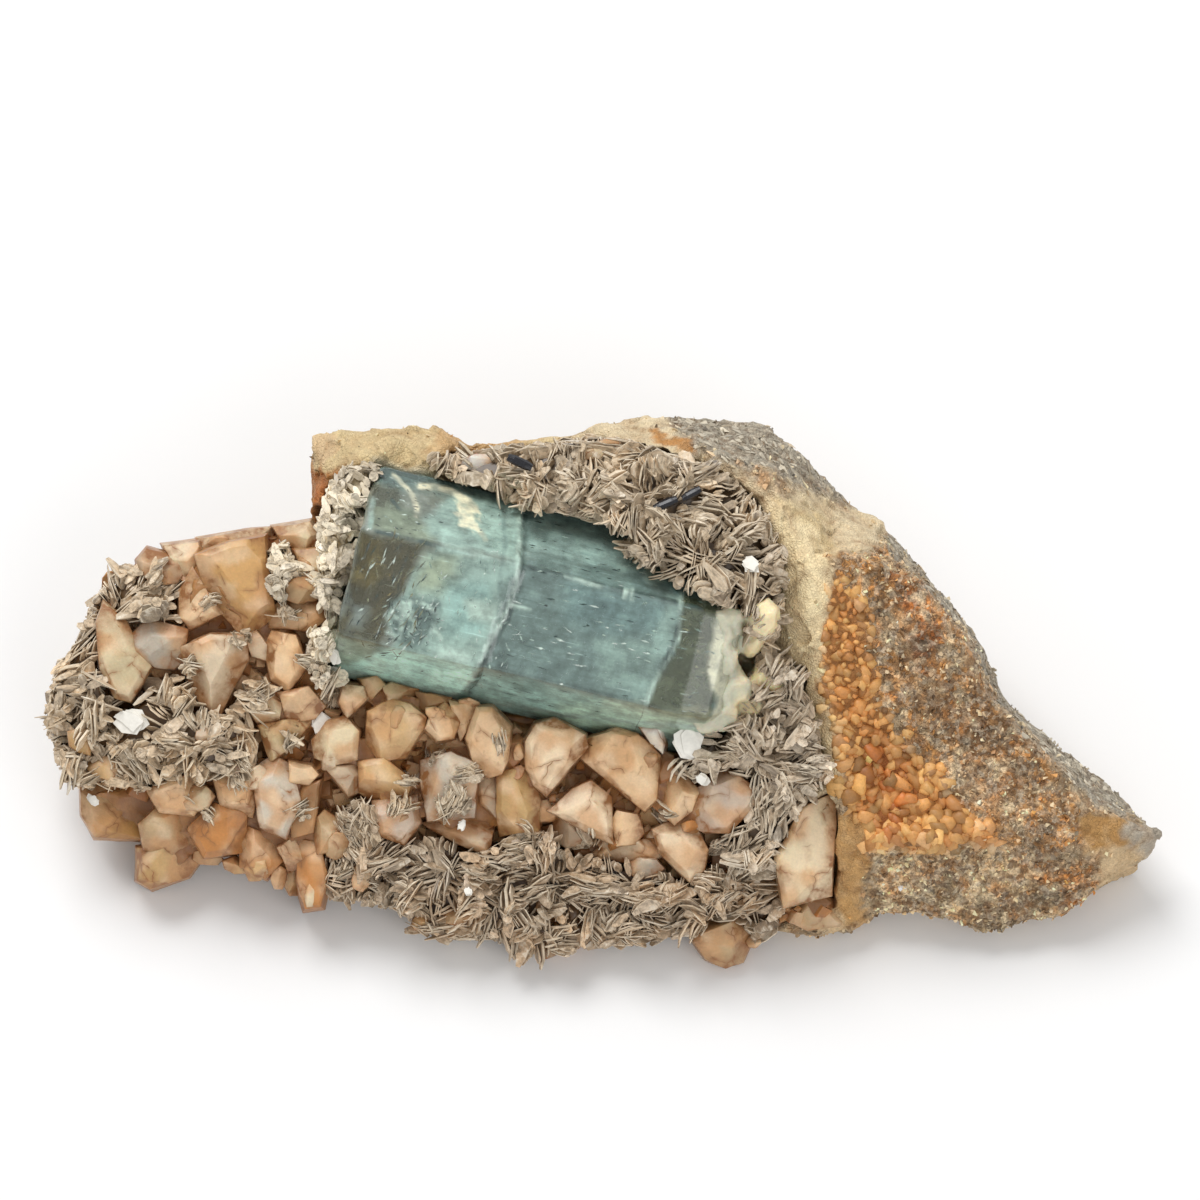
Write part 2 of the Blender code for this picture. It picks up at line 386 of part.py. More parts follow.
def mesh_object(name, points, faces):
    """An object with outward faces, from world points in metres."""
    mesh = bpy.data.meshes.new(name)
    mesh.from_pydata([tuple(point) for point in points], [], faces)
    shape = bmesh.new()
    shape.from_mesh(mesh)
    bmesh.ops.recalc_face_normals(shape, faces=shape.faces)
    shape.to_mesh(mesh)
    shape.free()
    made = bpy.data.objects.new(name, mesh)
    bpy.context.scene.collection.objects.link(made)
    return made


def offset_outline(points, distance):
    """The outline moved outwards by a distance; a negative distance moves it inwards."""
    turn = sum(
        a[0] * b[1] - b[0] * a[1] for a, b in zip(points, points[1:] + points[:1])
    )
    side = 1.0 if turn > 0 else -1.0
    moved = []
    for index, point in enumerate(points):
        here = Vector(point[:2])
        before = (here - Vector(points[index - 1][:2])).normalized()
        after = (Vector(points[(index + 1) % len(points)][:2]) - here).normalized()
        first = Vector((before.y, -before.x)) * side
        second = Vector((after.y, -after.x)) * side
        share = max(1.0 + first.dot(second), 0.6)
        moved.append(here + (first + second) / share * distance)
    return [(spot.x, spot.y) for spot in moved]


def subdivided(points, step, closed=True):
    """The same line with extra points, so that no stretch is longer than the step."""
    dense = []
    ends = points[1:] + points[:1] if closed else points[1:]
    for start, end in zip(points, ends):
        start, end = Vector(start), Vector(end)
        pieces = max(1, math.ceil((end - start).length / step))
        dense += [tuple(start.lerp(end, piece / pieces)) for piece in range(pieces)]
    return dense if closed else dense + [tuple(points[-1])]


def height_field(spots, lines=()):
    """A function that reads w at (u, v) from flat facets between the spots and lines."""
    points = list(spots)
    edges = []
    for line in lines:
        edges += [(len(points) + k, len(points) + k + 1) for k in range(len(line) - 1)]
        points += line
    flat = [Vector(point[:2]) for point in points]
    verts, _, faces, origins, _, _ = delaunay_2d_cdt(flat, edges, [], 0, 1e-5)
    raised = [
        Vector((spot.x, spot.y, points[source[0]][2] if source else 0.0))
        for spot, source in zip(verts, origins)
    ]
    tree = BVHTree.FromPolygons(raised, faces)

    def level(u, v):
        hit = tree.ray_cast(Vector((u, v, 500.0)), Vector((0, 0, -1)))[0]
        if hit is None:
            near = min(points, key=lambda p: (p[0] - u) ** 2 + (p[1] - v) ** 2)
            return near[2]
        return hit.z

    return level


def inside(point, outline):
    """True where a point lies in the outline."""
    x, y = point
    crossed = False
    for (x0, y0), (x1, y1) in zip(outline, outline[1:] + outline[:1]):
        if (y0 > y) != (y1 > y) and x < (x1 - x0) * (y - y0) / (y1 - y0) + x0:
            crossed = not crossed
    return crossed


def clearance(point, outline):
    """Distance from a point to the outline."""
    spot = Vector((*point, 0.0))
    nearest = math.inf
    for start, end in zip(outline, outline[1:] + outline[:1]):
        start, end = Vector((*start, 0.0)), Vector((*end, 0.0))
        on_line, share = intersect_point_line(spot, start, end)
        on_line = start.lerp(end, min(1.0, max(0.0, share)))
        nearest = min(nearest, (spot - on_line).length)
    return nearest


def lattice(outline, step_at, margin, seed):
    """Jittered points inside the outline on a triangular lattice of a varying step."""
    source = random.Random(seed)
    us, vs = [p[0] for p in outline], [p[1] for p in outline]
    fine = min(step_at(u, v) for u in us for v in vs)
    points = []
    row = 0
    v = min(vs)
    while v < max(vs):
        u = min(us) + (row % 2) * fine / 2
        while u < max(us):
            spot = (
                u + source.uniform(-0.28, 0.28) * fine,
                v + source.uniform(-0.28, 0.28) * fine,
            )
            step = step_at(*spot)
            far = all((spot[0] - p[0]) ** 2 + (spot[1] - p[1]) ** 2 > (0.72 * step) ** 2
                      for p in points[-160:])
            if far and inside(spot, outline) and clearance(spot, outline) > margin * step:
                points.append(spot)
            u += fine
        v += fine * 0.87
        row += 1
    return points


def triangulated(outline, inner):
    """Points and triangles that fill the outline through the inner points."""
    flat = [Vector(p) for p in outline] + [Vector(p) for p in inner]
    edges = [(k, (k + 1) % len(outline)) for k in range(len(outline))]
    verts, _, faces, _, _, _ = delaunay_2d_cdt(flat, edges, [], 1, 1e-5)
    return [(v.x, v.y) for v in verts], [tuple(face) for face in faces]


def shell_faces(count, faces):
    """Faces that close a lower copy of the points under an upper sheet."""
    sides = {}
    for face in faces:
        for start, end in zip(face, face[1:] + face[:1]):
            sides[(start, end)] = True
    borders = [edge for edge in sides if (edge[1], edge[0]) not in sides]
    walls = [(start, start + count, end + count, end) for start, end in borders]
    below = [tuple(index + count for index in reversed(face)) for face in faces]
    return list(faces) + walls + below


def slab(name, outline, level, floor_at, step, seed, grow=0.0):
    """A closed sheet of crust between the level function and the floor function."""
    inner = lattice(outline, lambda u, v: step, 0.45, seed)
    rim = offset_outline(list(outline), grow)
    points, faces = triangulated(rim, inner)
    upper = [world_point(u, v, level(u, v) + 1.4 * grow) for u, v in points]
    lower = [world_point(u, v, floor_at(u, v) - 1.4 * grow) for u, v in points]
    return mesh_object(name, upper + lower, shell_faces(len(points), faces))


def blocky_crystal(name, level, rise_u, rise_v, outline, grow=0.0):
    """A feldspar block: a tilted front face with a chamfer round it and flaring sides."""
    centre_u = sum(p[0] for p in outline) / len(outline)
    centre_v = sum(p[1] for p in outline) / len(outline)
    rings = [(0.0, 0.0), (CRYSTAL_FLARE, -CRYSTAL_DEPTH)]
    wide = max(p[0] for p in outline) - min(p[0] for p in outline) > CHAMFERED_WIDTH
    if grow == 0.0 and wide:
        rings = [(-CRYSTAL_CHAMFER, 0.0), (0.0, -CRYSTAL_CHAMFER_DEPTH), rings[1]]
    points = []
    for widening, depth in rings:
        lift = 1.2 * grow if depth > -CRYSTAL_DEPTH else -grow
        for u, v in offset_outline(list(outline), widening + grow):
            tilt = rise_u * (u - centre_u) + rise_v * (v - centre_v)
            points.append(world_point(u, v, level + tilt + depth + lift))
    return convex_object(name, points)


def convex_object(name, points):
    """The convex hull of the points as an object."""
    shape = bmesh.new()
    for point in points:
        shape.verts.new(point)
    hull = bmesh.ops.convex_hull(shape, input=shape.verts)
    loose = [v for v in hull["geom_interior"] if isinstance(v, bmesh.types.BMVert)]
    bmesh.ops.delete(shape, geom=loose, context="VERTS")
    bmesh.ops.dissolve_limit(
        shape, angle_limit=math.radians(0.5), verts=shape.verts, edges=shape.edges
    )
    mesh = bpy.data.meshes.new(name)
    bmesh.ops.recalc_face_normals(shape, faces=shape.faces)
    shape.to_mesh(mesh)
    shape.free()
    made = bpy.data.objects.new(name, mesh)
    bpy.context.scene.collection.objects.link(made)
    return made


def prism(name, grow=0.0):
    """The aquamarine: six-sided rings along its descending axis."""
    along = Vector((math.cos(math.radians(PRISM_DESCENT)),
                    -math.sin(math.radians(PRISM_DESCENT))))
    upward = Vector((-along.y, along.x))
    points = []
    last = len(PRISM_RINGS) - 1
    for index, (distance, share) in enumerate(PRISM_RINGS):
        distance += {0: -grow, last: grow}.get(index, 0.0)
        radius = PRISM_SIDE * share + grow / math.cos(math.radians(30))
        for corner in range(6):
            angle = math.radians(PRISM_TURN + 60 * corner)
            height = PRISM_CENTRE[0] + radius * math.cos(angle)
            out = PRISM_CENTRE[1] + radius * math.sin(angle)
            spot = along * distance + upward * height
            points.append(world_point(spot.x, spot.y, out))
    faces = [tuple(range(5, -1, -1)), tuple(range(6 * last, 6 * last + 6))]
    for ring in range(last):
        for corner in range(6):
            after = (corner + 1) % 6
            base = 6 * ring
            faces.append((base + corner, base + after, base + 6 + after, base + 6 + corner))
    return mesh_object(name, points, faces)


def mica_blade(name, place, grow=0.0):
    """A six-sided mica book standing in its mass."""
    centre, normal, across, radius, thickness = place
    third = normal.cross(across)
    points = []
    for side in (-1, 1):
        for corner in range(6):
            angle = math.radians(60 * corner)
            out = across * math.cos(angle) + third * math.sin(angle) * 0.86
            points.append(
                centre + (out * (radius + 1.2 * grow) + normal * side * (thickness / 2 + grow)) * MM
            )
    return convex_object(name, points)


def blade_places(outline, level, count, seed):
    """Where the blades of one mass stand: seeded spots that keep their distance."""
    source = random.Random(seed)
    us, vs = [p[0] for p in outline], [p[1] for p in outline]
    spots = []
    for _ in range(count * 60):
        spot = (source.uniform(min(us), max(us)), source.uniform(min(vs), max(vs)))
        apart = all(math.dist(spot, other) > BLADE_SPACING for other in spots)
        if apart and inside(spot, outline) and clearance(spot, outline) > 0.9:
            spots.append(spot)
        if len(spots) == count:
            break
    places = []
    for u, v in spots:
        radius = source.uniform(*BLADE_RADIUS)
        lean = math.radians(source.uniform(8, 55))
        turn = source.uniform(0, math.tau)
        spin = source.uniform(0, math.tau)
        normal = face_direction(turn, lean)
        side = normal.cross(face_direction(turn + math.pi / 2, 0.0)).normalized()
        side.rotate(Matrix.Rotation(spin, 3, normal))
        centre = world_point(u, v, level(u, v) + BLADE_RISE * radius * math.cos(lean))
        places.append((centre, normal, side, radius, source.uniform(*BLADE_THICKNESS)))
    return places


def face_direction(turn, lean):
    """A unit direction: turned about the face's normal and leaning out of the face."""
    origin = world_point(0, 0, 0)
    flat = math.cos(lean)
    tip = world_point(flat * math.cos(turn), flat * math.sin(turn), math.sin(lean))
    return (tip - origin).normalized()


def ground_block():
    """Everything under the pieces that don't touch the ground."""
    top = GROUND_CLEARANCE * MM
    corners = [(x, y, z) for z in (-0.05, top) for x in (-0.1, 0.1) for y in (-0.1, 0.1)]
    faces = [(0, 2, 3, 1), (4, 5, 7, 6), (0, 1, 5, 4), (2, 6, 7, 3), (0, 4, 6, 2), (1, 3, 7, 5)]
    return mesh_object("ground_block", corners, faces)


def combine(body, operation, others):
    """Joins or cuts the body with the other solids, and keeps only its own mesh."""
    group = bpy.data.collections.new("others")
    bpy.context.scene.collection.children.link(group)
    for other in others:
        group.objects.link(other)
    change = body.modifiers.new("combine", "BOOLEAN")
    change.operation = operation
    change.operand_type = "COLLECTION"
    change.collection = group
    change.solver = "EXACT"
    graph = bpy.context.evaluated_depsgraph_get()
    result = bpy.data.meshes.new_from_object(body.evaluated_get(graph))
    body.modifiers.clear()
    body.data = result
    bpy.data.collections.remove(group)
    keep_largest(body)


def keep_largest(body):
    """Tidies the mesh and drops the crumbs that a cut leaves."""
    shape = bmesh.new()
    shape.from_mesh(body.data)
    bmesh.ops.remove_doubles(shape, verts=shape.verts, dist=2e-6)
    bmesh.ops.dissolve_degenerate(shape, edges=shape.edges, dist=2e-6)
    waiting = set(shape.verts)
    islands = []
    while waiting:
        island = {waiting.pop()}
        border = list(island)
        while border:
            vert = border.pop()
            for edge in vert.link_edges:
                other = edge.other_vert(vert)
                if other in waiting:
                    waiting.discard(other)
                    island.add(other)
                    border.append(other)
        islands.append(island)
    largest = max(islands, key=len)
    crumbs = [vert for vert in shape.verts if vert not in largest]
    bmesh.ops.delete(shape, geom=crumbs, context="VERTS")
    bmesh.ops.recalc_face_normals(shape, faces=shape.faces)
    bmesh.ops.dissolve_limit(
        shape, angle_limit=FLAT_ANGLE, verts=shape.verts, edges=shape.edges
    )
    shape.to_mesh(body.data)
    shape.free()


def remove_all(items):
    for item in items:
        bpy.data.objects.remove(item, do_unlink=True)


def rock_outline():
    """The rock's rim: its stretches with their inset and level, as u, v, w."""
    rim = []
    whole = [point for _, _, stretch in ROCK_RIM for point in stretch]
    for level, inset, stretch in ROCK_RIM:
        shrunk = offset_outline(whole, -inset)
        start = whole.index(stretch[0])
        rim += [(u, v, level) for u, v in shrunk[start:start + len(stretch)]]
    return subdivided(rim, RIM_STEP)


def ragged(u, v, amount):
    """A small steady offset that breaks up flat rock, from the place alone."""
    return amount * (
        noise.noise(Vector((u, v, 3.0)) * 0.17) + 0.8 * noise.noise(Vector((u, v, 9.0)) * 0.45)
    )


def nearest_on_spine(spot):
    """The closest point of the line along the middle of the underside."""
    best = None
    for start, end in zip(SPINE, SPINE[1:]):
        start, end = Vector((*start, 0.0)), Vector((*end, 0.0))
        _, share = intersect_point_line(spot, start, end)
        found = start.lerp(end, min(1.0, max(0.0, share)))
        if best is None or (found - spot).length < (best - spot).length:
            best = found
    return best


def wall_ring(rim, level):
    """The rock's side at a share of the rim's height: it leans in towards the underside."""
    ring = []
    for index, top in enumerate(rim):
        flat = Vector((top.x, top.y, 0.0)) / MM
        inward = nearest_on_spine(flat) - flat
        reach = inward.length
        inward.normalize()
        height = top.z / MM
        facing_front = max(0.0, inward.y)
        lean = 0.22 + 0.42 * facing_front
        drop = height * (1.0 - level)
        bulge = 0.07 * height * math.sin(math.pi * level)
        moved = min(drop * lean + 0.25, 0.8 * reach) - bulge * (1.0 - facing_front)
        if 0.0 < level:
            rough = noise.noise(Vector((flat.x, flat.y, level * 30)) * 0.19)
            moved += WALL_ROUGHNESS * min(1.0, height / 12.0) * (rough + 0.25)
        spot = flat + inward * moved
        ring.append(Vector((spot.x, spot.y, height * level)) * MM)
    return ring


def host_rock():
    rim = rock_outline()
    outline = [(u, v) for u, v, _ in rim]
    level = height_field(ROCK_SPOTS, [[*line] for line in ROCK_LINES] + [rim + rim[:1]])

    def step_at(u, v):
        exposed = u > EXPOSED_RIGHT or v > EXPOSED_TOP
        return EXPOSED_STEP if exposed else BURIED_STEP

    inner = lattice(outline, step_at, 0.4, 7)
    for line in ROCK_LINES:
        inner += [(u, v) for u, v, _ in subdivided(list(line), EXPOSED_STEP, closed=False)]
    points, faces = triangulated(outline, inner)
    count = len(outline)
    upper = []
    for index, (u, v) in enumerate(points):
        rough = 0.0 if index < count else ragged(u, v, ROCK_ROUGHNESS)
        w = rim[index][2] + ragged(u, v, 1.2) if index < count else level(u, v) + rough
        upper.append(world_point(u, v, w))
    verts = list(upper)
    for share in WALL_LEVELS:
        verts += wall_ring(upper[:count], share)
    for ring in range(len(WALL_LEVELS)):
        above = len(upper) + (ring - 1) * count if ring else 0
        below = len(upper) + ring * count
        for index in range(count):
            after = (index + 1) % count
            faces.append((above + index, below + index, below + after, above + after))
    faces.append(tuple(range(len(verts) - count, len(verts))))
    return mesh_object("host_rock", verts, faces)


def feldspar_parts(grow):
    level = height_field(CRUST_SPOTS)
    crust = slab(
        "feldspar_crystals", CRUST_OUTLINE, level,
        lambda u, v: level(u, v) - CRUST_THICKNESS, CRUST_STEP, 5, grow,
    )
    crystals = [
        blocky_crystal(f"crystal_{index}", *row, grow) for index, row in enumerate(FELDSPARS)
    ]
    return crust, crystals


def mica_parts(name, grow):
    mass = MICA_MASSES[name]
    level = height_field(mass["spots"])
    body = slab(
        name, mass["outline"], level, lambda u, v: mass["floor"], MICA_STEP, mass["seed"], grow
    )
    places = blade_places(list(mass["outline"]), level, mass["blades"], mass["seed"])
    blades = [
        mica_blade(f"blade_{index}", place, grow) for index, place in enumerate(places)
    ]
    return body, blades


def build():
    clear_scene()
    ground = ground_block()

    aquamarine = prism("aquamarine_crystal")
    around_prism = prism("around_prism", GAP)

    feldspar, crystals = feldspar_parts(0.0)
    combine(feldspar, "UNION", crystals)
    remove_all(crystals)
    combine(feldspar, "DIFFERENCE", [around_prism, ground])
    around_crust, around_crystals = feldspar_parts(GAP)
    around_feldspar = [around_crust, *around_crystals]

    masses = []
    around_mica = []
    for name in MICA_MASSES:
        body, blades = mica_parts(name, 0.0)
        combine(body, "UNION", blades)
        remove_all(blades)
        combine(body, "DIFFERENCE", [around_prism, ground, *around_feldspar, *around_mica])
        masses.append(body)
        around_body, around_blades = mica_parts(name, GAP)
        around_body.name = "around_" + name
        body.name = name
        around_mica += [around_body, *around_blades]

    rock = host_rock()
    combine(rock, "DIFFERENCE", [around_prism, *around_feldspar, *around_mica])
    remove_all([ground, around_prism, *around_feldspar, *around_mica])
    feldspar.name = "feldspar_crystals"

    rock.data.materials.append(material("rock", (0.55, 0.42, 0.28), 0.85))
    feldspar.data.materials.append(material("feldspar", (0.72, 0.52, 0.34), 0.55))
    aquamarine.data.materials.append(material("aquamarine", (0.42, 0.62, 0.58), 0.12, 0.8))
    for body in masses:
        body.data.materials.append(material("muscovite", (0.42, 0.36, 0.28), 0.4))


build()
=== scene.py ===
import math
import random

import bmesh
import bpy
import numpy as np
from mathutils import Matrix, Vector, noise
from mathutils.bvhtree import BVHTree


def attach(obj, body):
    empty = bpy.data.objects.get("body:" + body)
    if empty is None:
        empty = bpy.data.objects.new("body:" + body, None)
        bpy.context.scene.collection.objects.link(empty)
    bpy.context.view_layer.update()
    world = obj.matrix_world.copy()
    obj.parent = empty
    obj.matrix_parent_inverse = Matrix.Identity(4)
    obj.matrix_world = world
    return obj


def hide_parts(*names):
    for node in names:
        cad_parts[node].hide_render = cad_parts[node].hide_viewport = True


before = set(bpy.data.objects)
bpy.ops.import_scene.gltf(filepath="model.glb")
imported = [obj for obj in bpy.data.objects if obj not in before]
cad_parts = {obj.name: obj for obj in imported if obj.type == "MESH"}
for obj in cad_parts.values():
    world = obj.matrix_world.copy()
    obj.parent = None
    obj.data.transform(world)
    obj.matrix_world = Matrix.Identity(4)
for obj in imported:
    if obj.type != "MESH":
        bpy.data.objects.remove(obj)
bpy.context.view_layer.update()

# The leaning display face: u to the right, v up the face, w out of it, in millimetres.
MM = 0.001
FACE_ELEVATION = math.radians(65)
FACE_HEIGHT = 15.5
FACE_AXES = np.array((
    (1.0, 0.0, 0.0),
    (0.0, math.sin(FACE_ELEVATION), math.cos(FACE_ELEVATION)),
    (0.0, -math.cos(FACE_ELEVATION), math.sin(FACE_ELEVATION)),
))
OUT = Vector((0.0, 0.0, 1.0))
FLOOR_GAP = 0.02
RAY_START = 60.0
CELL_STRIDE = 9.7
FAR = 1e9

# The photograph's scale, for places that are named by where they show in it.
PHOTO_MM_PER_PIXEL = 0.11
PHOTO_ORIGIN = (600, 700)

# Camera and light.
VIEW_CENTRE = (0.0, 11.0, 3.0)
VIEW_WIDTH = 132.0
VIEW_DISTANCE = 1500.0
SENSOR = 36.0
FLOOR_HALF = 4.0
SKY_STRENGTH = 0.57

# The aquamarine's prism, as in the part's source.
PRISM_SIDE = 12.0
PRISM_TURN = 7.0
PRISM_DESCENT = math.radians(13.5)
PRISM_CENTRE = (7.69, 3.7)
PRISM_START = -29.7
PRISM_END = 13.4
PRISM_SHARE = math.cos(math.radians(30))
END_SHARES = ((-29.7, 0.955), (-29.1, 1.0), (8.8, 1.0), (11.8, 0.965), (13.4, 0.83))
STEP_SHARE = 0.965
MILK_GAIN = 1.05

# The run of the schist on the face, and the size of the patches where mica books stand alike.
SCHIST_RUN = np.array((0.68, -0.73, 0.0))
BOOK_PATCH = 2.6

# How finely the CAD nodes are remeshed, in millimetres.
ROCK_VOXEL = 0.88
FORM_VOXEL = 0.75
LUMP_VOXEL = 0.34

# Needle paint, nearly black.
NEEDLE_TONE = (0.012, 0.012, 0.016)

# Lines across the prism, as p up its face and s along it.
FIRST_FRACTURE = ((-3.3, -15.3), (-1.1, -13.8), (1.3, -13.4), (5.5, -13.1), (9.1, -12.1),
                  (12.3, -11.9), (19.9, -13.9))
SECOND_FRACTURE = ((-3.0, 4.2), (0.4, 4.6), (4.1, 5.5), (7.7, 6.1), (11.4, 6.1), (13.9, 5.7),
                   (19.0, 5.2))

# Colours, as red, green and blue out of 255.
PALETTE = {
    "peach": (242, 204, 158),
    "pale_peach": (246, 220, 184),
    "honey": (218, 180, 128),
    "yellow": (198, 162, 108),
    "rust": (180, 128, 84),
    "warm_cloud": (212, 160, 108),
    "cream": (234, 214, 176),
    "yellow_cream": (222, 198, 150),
    "white": (246, 242, 232),
    "lavender": (208, 186, 164),
    "tan": (198, 168, 126),
    "brown": (156, 116, 76),
    "taupe": (184, 160, 132),
    "silver": (212, 200, 180),
    "orange": (200, 136, 74),
    "deep_orange": (186, 112, 54),
    "orange_brown": (202, 146, 84),
    "amber": (208, 162, 102),
    "grey": (186, 174, 156),
    "celadon": (206, 188, 150),
    "straw": (190, 144, 84),
    "pale": (224, 202, 170),
    "schist": (172, 163, 145),
    "grey_lavender": (198, 166, 126),
    "quartz_white": (226, 196, 152),
    "stone": (184, 160, 126),
    "sugar": (228, 178, 108),
    "pocket": (202, 192, 164),
    "hollow_shade": (84, 62, 42),
    "mica": (208, 186, 156),
    "mica_pale": (214, 188, 154),
    "mica_grey": (216, 197, 172),
    "mica_brown": (198, 168, 134),
    "mica_taupe": (252, 240, 214),
    "mica_edge": (236, 220, 192),
    "pale_teal": (142, 149, 138),
    "grey_teal": (126, 148, 142),
    "milky_teal_painted_light": (148, 170, 162),
    "teal": (124, 146, 140),
    "blue_teal": (130, 157, 153),
    "deep_teal": (114, 140, 137),
    "light_teal": (150, 174, 165),
    "celadon_teal": (138, 148, 140),
    "mint": (158, 181, 171),
    "bright_mint": (192, 212, 200),
    "blue_mint": (158, 188, 180),
    "pale_green": (160, 172, 150),
    "milky_green": (208, 206, 182),
    "greenish_cream": (212, 204, 170),
    "olive": (102, 98, 74),
    "olive_grey": (126, 130, 112),
    "olive_yellow": (128, 116, 74),
    "olive_teal": (108, 116, 92),
    "pale_olive": (150, 152, 122),
    "dark_line": (70, 88, 84),
    "glint": (224, 236, 228),
    "inclusion": (226, 220, 194),
    # Lighter than the rim's own cream: on the rim it is painted light against the shade of its
    # recess.
    "rim_cream": (255, 234, 188),
}

# Rock zones from front to back of the list: tone, kind of surface, softness, outline.
ROCK_ZONES = (
    ("yellow_cream", "quartz", 1.2, ((306, 410), (600, 420), (600, 470), (467, 470), (465, 505),
     (330, 540), (300, 520))),
    ("quartz_white", "quartz", 0.9, ((306, 434), (332, 438), (330, 462), (310, 474))),
    ("honey", "quartz", 1.4, ((440, 424), (520, 430), (560, 472), (540, 488), (500, 476),
     (450, 464), (430, 450))),
    ("orange", "quartz", 0.9, ((300, 468), (334, 470), (346, 500), (330, 545), (300, 545))),
    ("deep_orange", "quartz", 0.8, ((312, 474), (326, 474), (332, 494), (316, 498))),
    ("cream", "quartz", 1.2, ((560, 405), (680, 405), (690, 440), (745, 482), (780, 492),
     (848, 548), (836, 600), (830, 660), (846, 740), (858, 806), (800, 820), (740, 700),
     (740, 560), (620, 470), (560, 470))),
    ("schist", "schist", 1.2, ((668, 400), (770, 405), (822, 452), (905, 525), (850, 512),
     (812, 497), (762, 474), (690, 449), (668, 425))),
    ("cream", "quartz", 1.8, ((780, 486), (830, 496), (884, 512), (940, 560), (905, 572),
     (887, 550), (830, 562), (800, 520))),
    ("yellow_cream", "quartz", 1.6, ((780, 500), (826, 512), (836, 560), (800, 590), (786, 560))),
    # Painted light: the rim in its recess is toned near white to offset its shade.
    ("rim_cream", "quartz", 1.6, ((764, 508), (786, 506), (836, 580), (832, 680), (846, 770),
     (820, 780), (790, 690), (770, 600))),
    ("orange_brown", "grains", 1.0, ((833, 562), (887, 548), (930, 594), (966, 640), (996, 705),
     (1050, 763), (1084, 805), (1152, 828), (1100, 850), (1000, 850), (855, 856), (838, 800),
     (842, 740), (824, 690), (828, 620))),
    ("orange", "sugar", 1.6, ((826, 580), (868, 600), (872, 700), (900, 740), (940, 770),
     (985, 830), (1010, 852), (850, 858), (846, 800), (838, 745), (822, 680))),
    ("grey_lavender", "grains", 1.6, ((872, 600), (906, 610), (912, 652), (880, 655))),
    ("grey_lavender", "grains", 1.6, ((890, 672), (932, 676), (938, 712), (900, 706))),
    ("grey_lavender", "grains", 1.8, ((940, 752), (985, 745), (1018, 790), (1010, 822),
     (960, 800))),
    ("deep_orange", "grains", 1.6, ((890, 572), (925, 590), (948, 625), (930, 640), (900, 612))),
    ("deep_orange", "grains", 1.4, ((905, 628), (940, 640), (935, 676), (908, 664))),
    ("brown", "grains", 2.2, ((915, 700), (975, 690), (1010, 740), (1040, 790), (985, 760))),
    ("deep_orange", "sugar", 1.4, ((866, 740), (905, 750), (915, 800), (890, 840), (865, 800))),
    ("straw", "quartz", 1.2, ((1075, 812), (1132, 816), (1140, 850), (1084, 856))),
    ("schist", "schist", 1.0, ((887, 545), (929, 590), (968, 640), (998, 705), (1052, 763),
     (1086, 803), (1152, 826), (1180, 820), (1180, 780), (1060, 640), (900, 490))),
    ("grey", "quartz", 1.0, ((1124, 826), (1180, 820), (1180, 862), (1128, 866))),
    ("quartz_white", "grains", 1.6, ((866, 852), (1000, 846), (1094, 862), (1110, 900),
     (1090, 935), (980, 950), (868, 930))),
    ("tan", "grains", 1.6, ((940, 880), (1040, 872), (1052, 930), (970, 945), (930, 910))),
    ("quartz_white", "quartz", 1.2, ((1092, 852), (1140, 846), (1140, 900), (1094, 906))),
    ("orange", "grains", 1.2, ((1060, 858), (1102, 862), (1098, 912), (1068, 922))),
    ("orange", "grains", 1.6, ((1020, 852), (1056, 856), (1048, 880), (1022, 878))),
    ("amber", "quartz", 1.2, ((824, 812), (866, 815), (870, 930), (826, 930))),
    ("quartz_white", "quartz", 1.4, ((770, 880), (830, 886), (846, 930), (780, 940))),
    ("orange_brown", "quartz", 0.8, ((658, 439), (688, 441), (690, 450), (662, 451))),
    ("greenish_cream", "quartz", 1.2, ((722, 604), (756, 612), (766, 660), (758, 712), (716, 730),
     (700, 724))),
)

# Hollows in the rock, sunk and painted dark: painted shade.
HOLLOWS = (
    ((746, 694), (749, 683), (764, 668), (769, 676), (759, 691)),
    ((750, 616), (757, 617), (758, 630), (752, 631)),
    ((795, 667), (803, 669), (800, 685), (791, 680)),
    ((315, 508), (323, 510), (327, 523), (317, 522)),
)

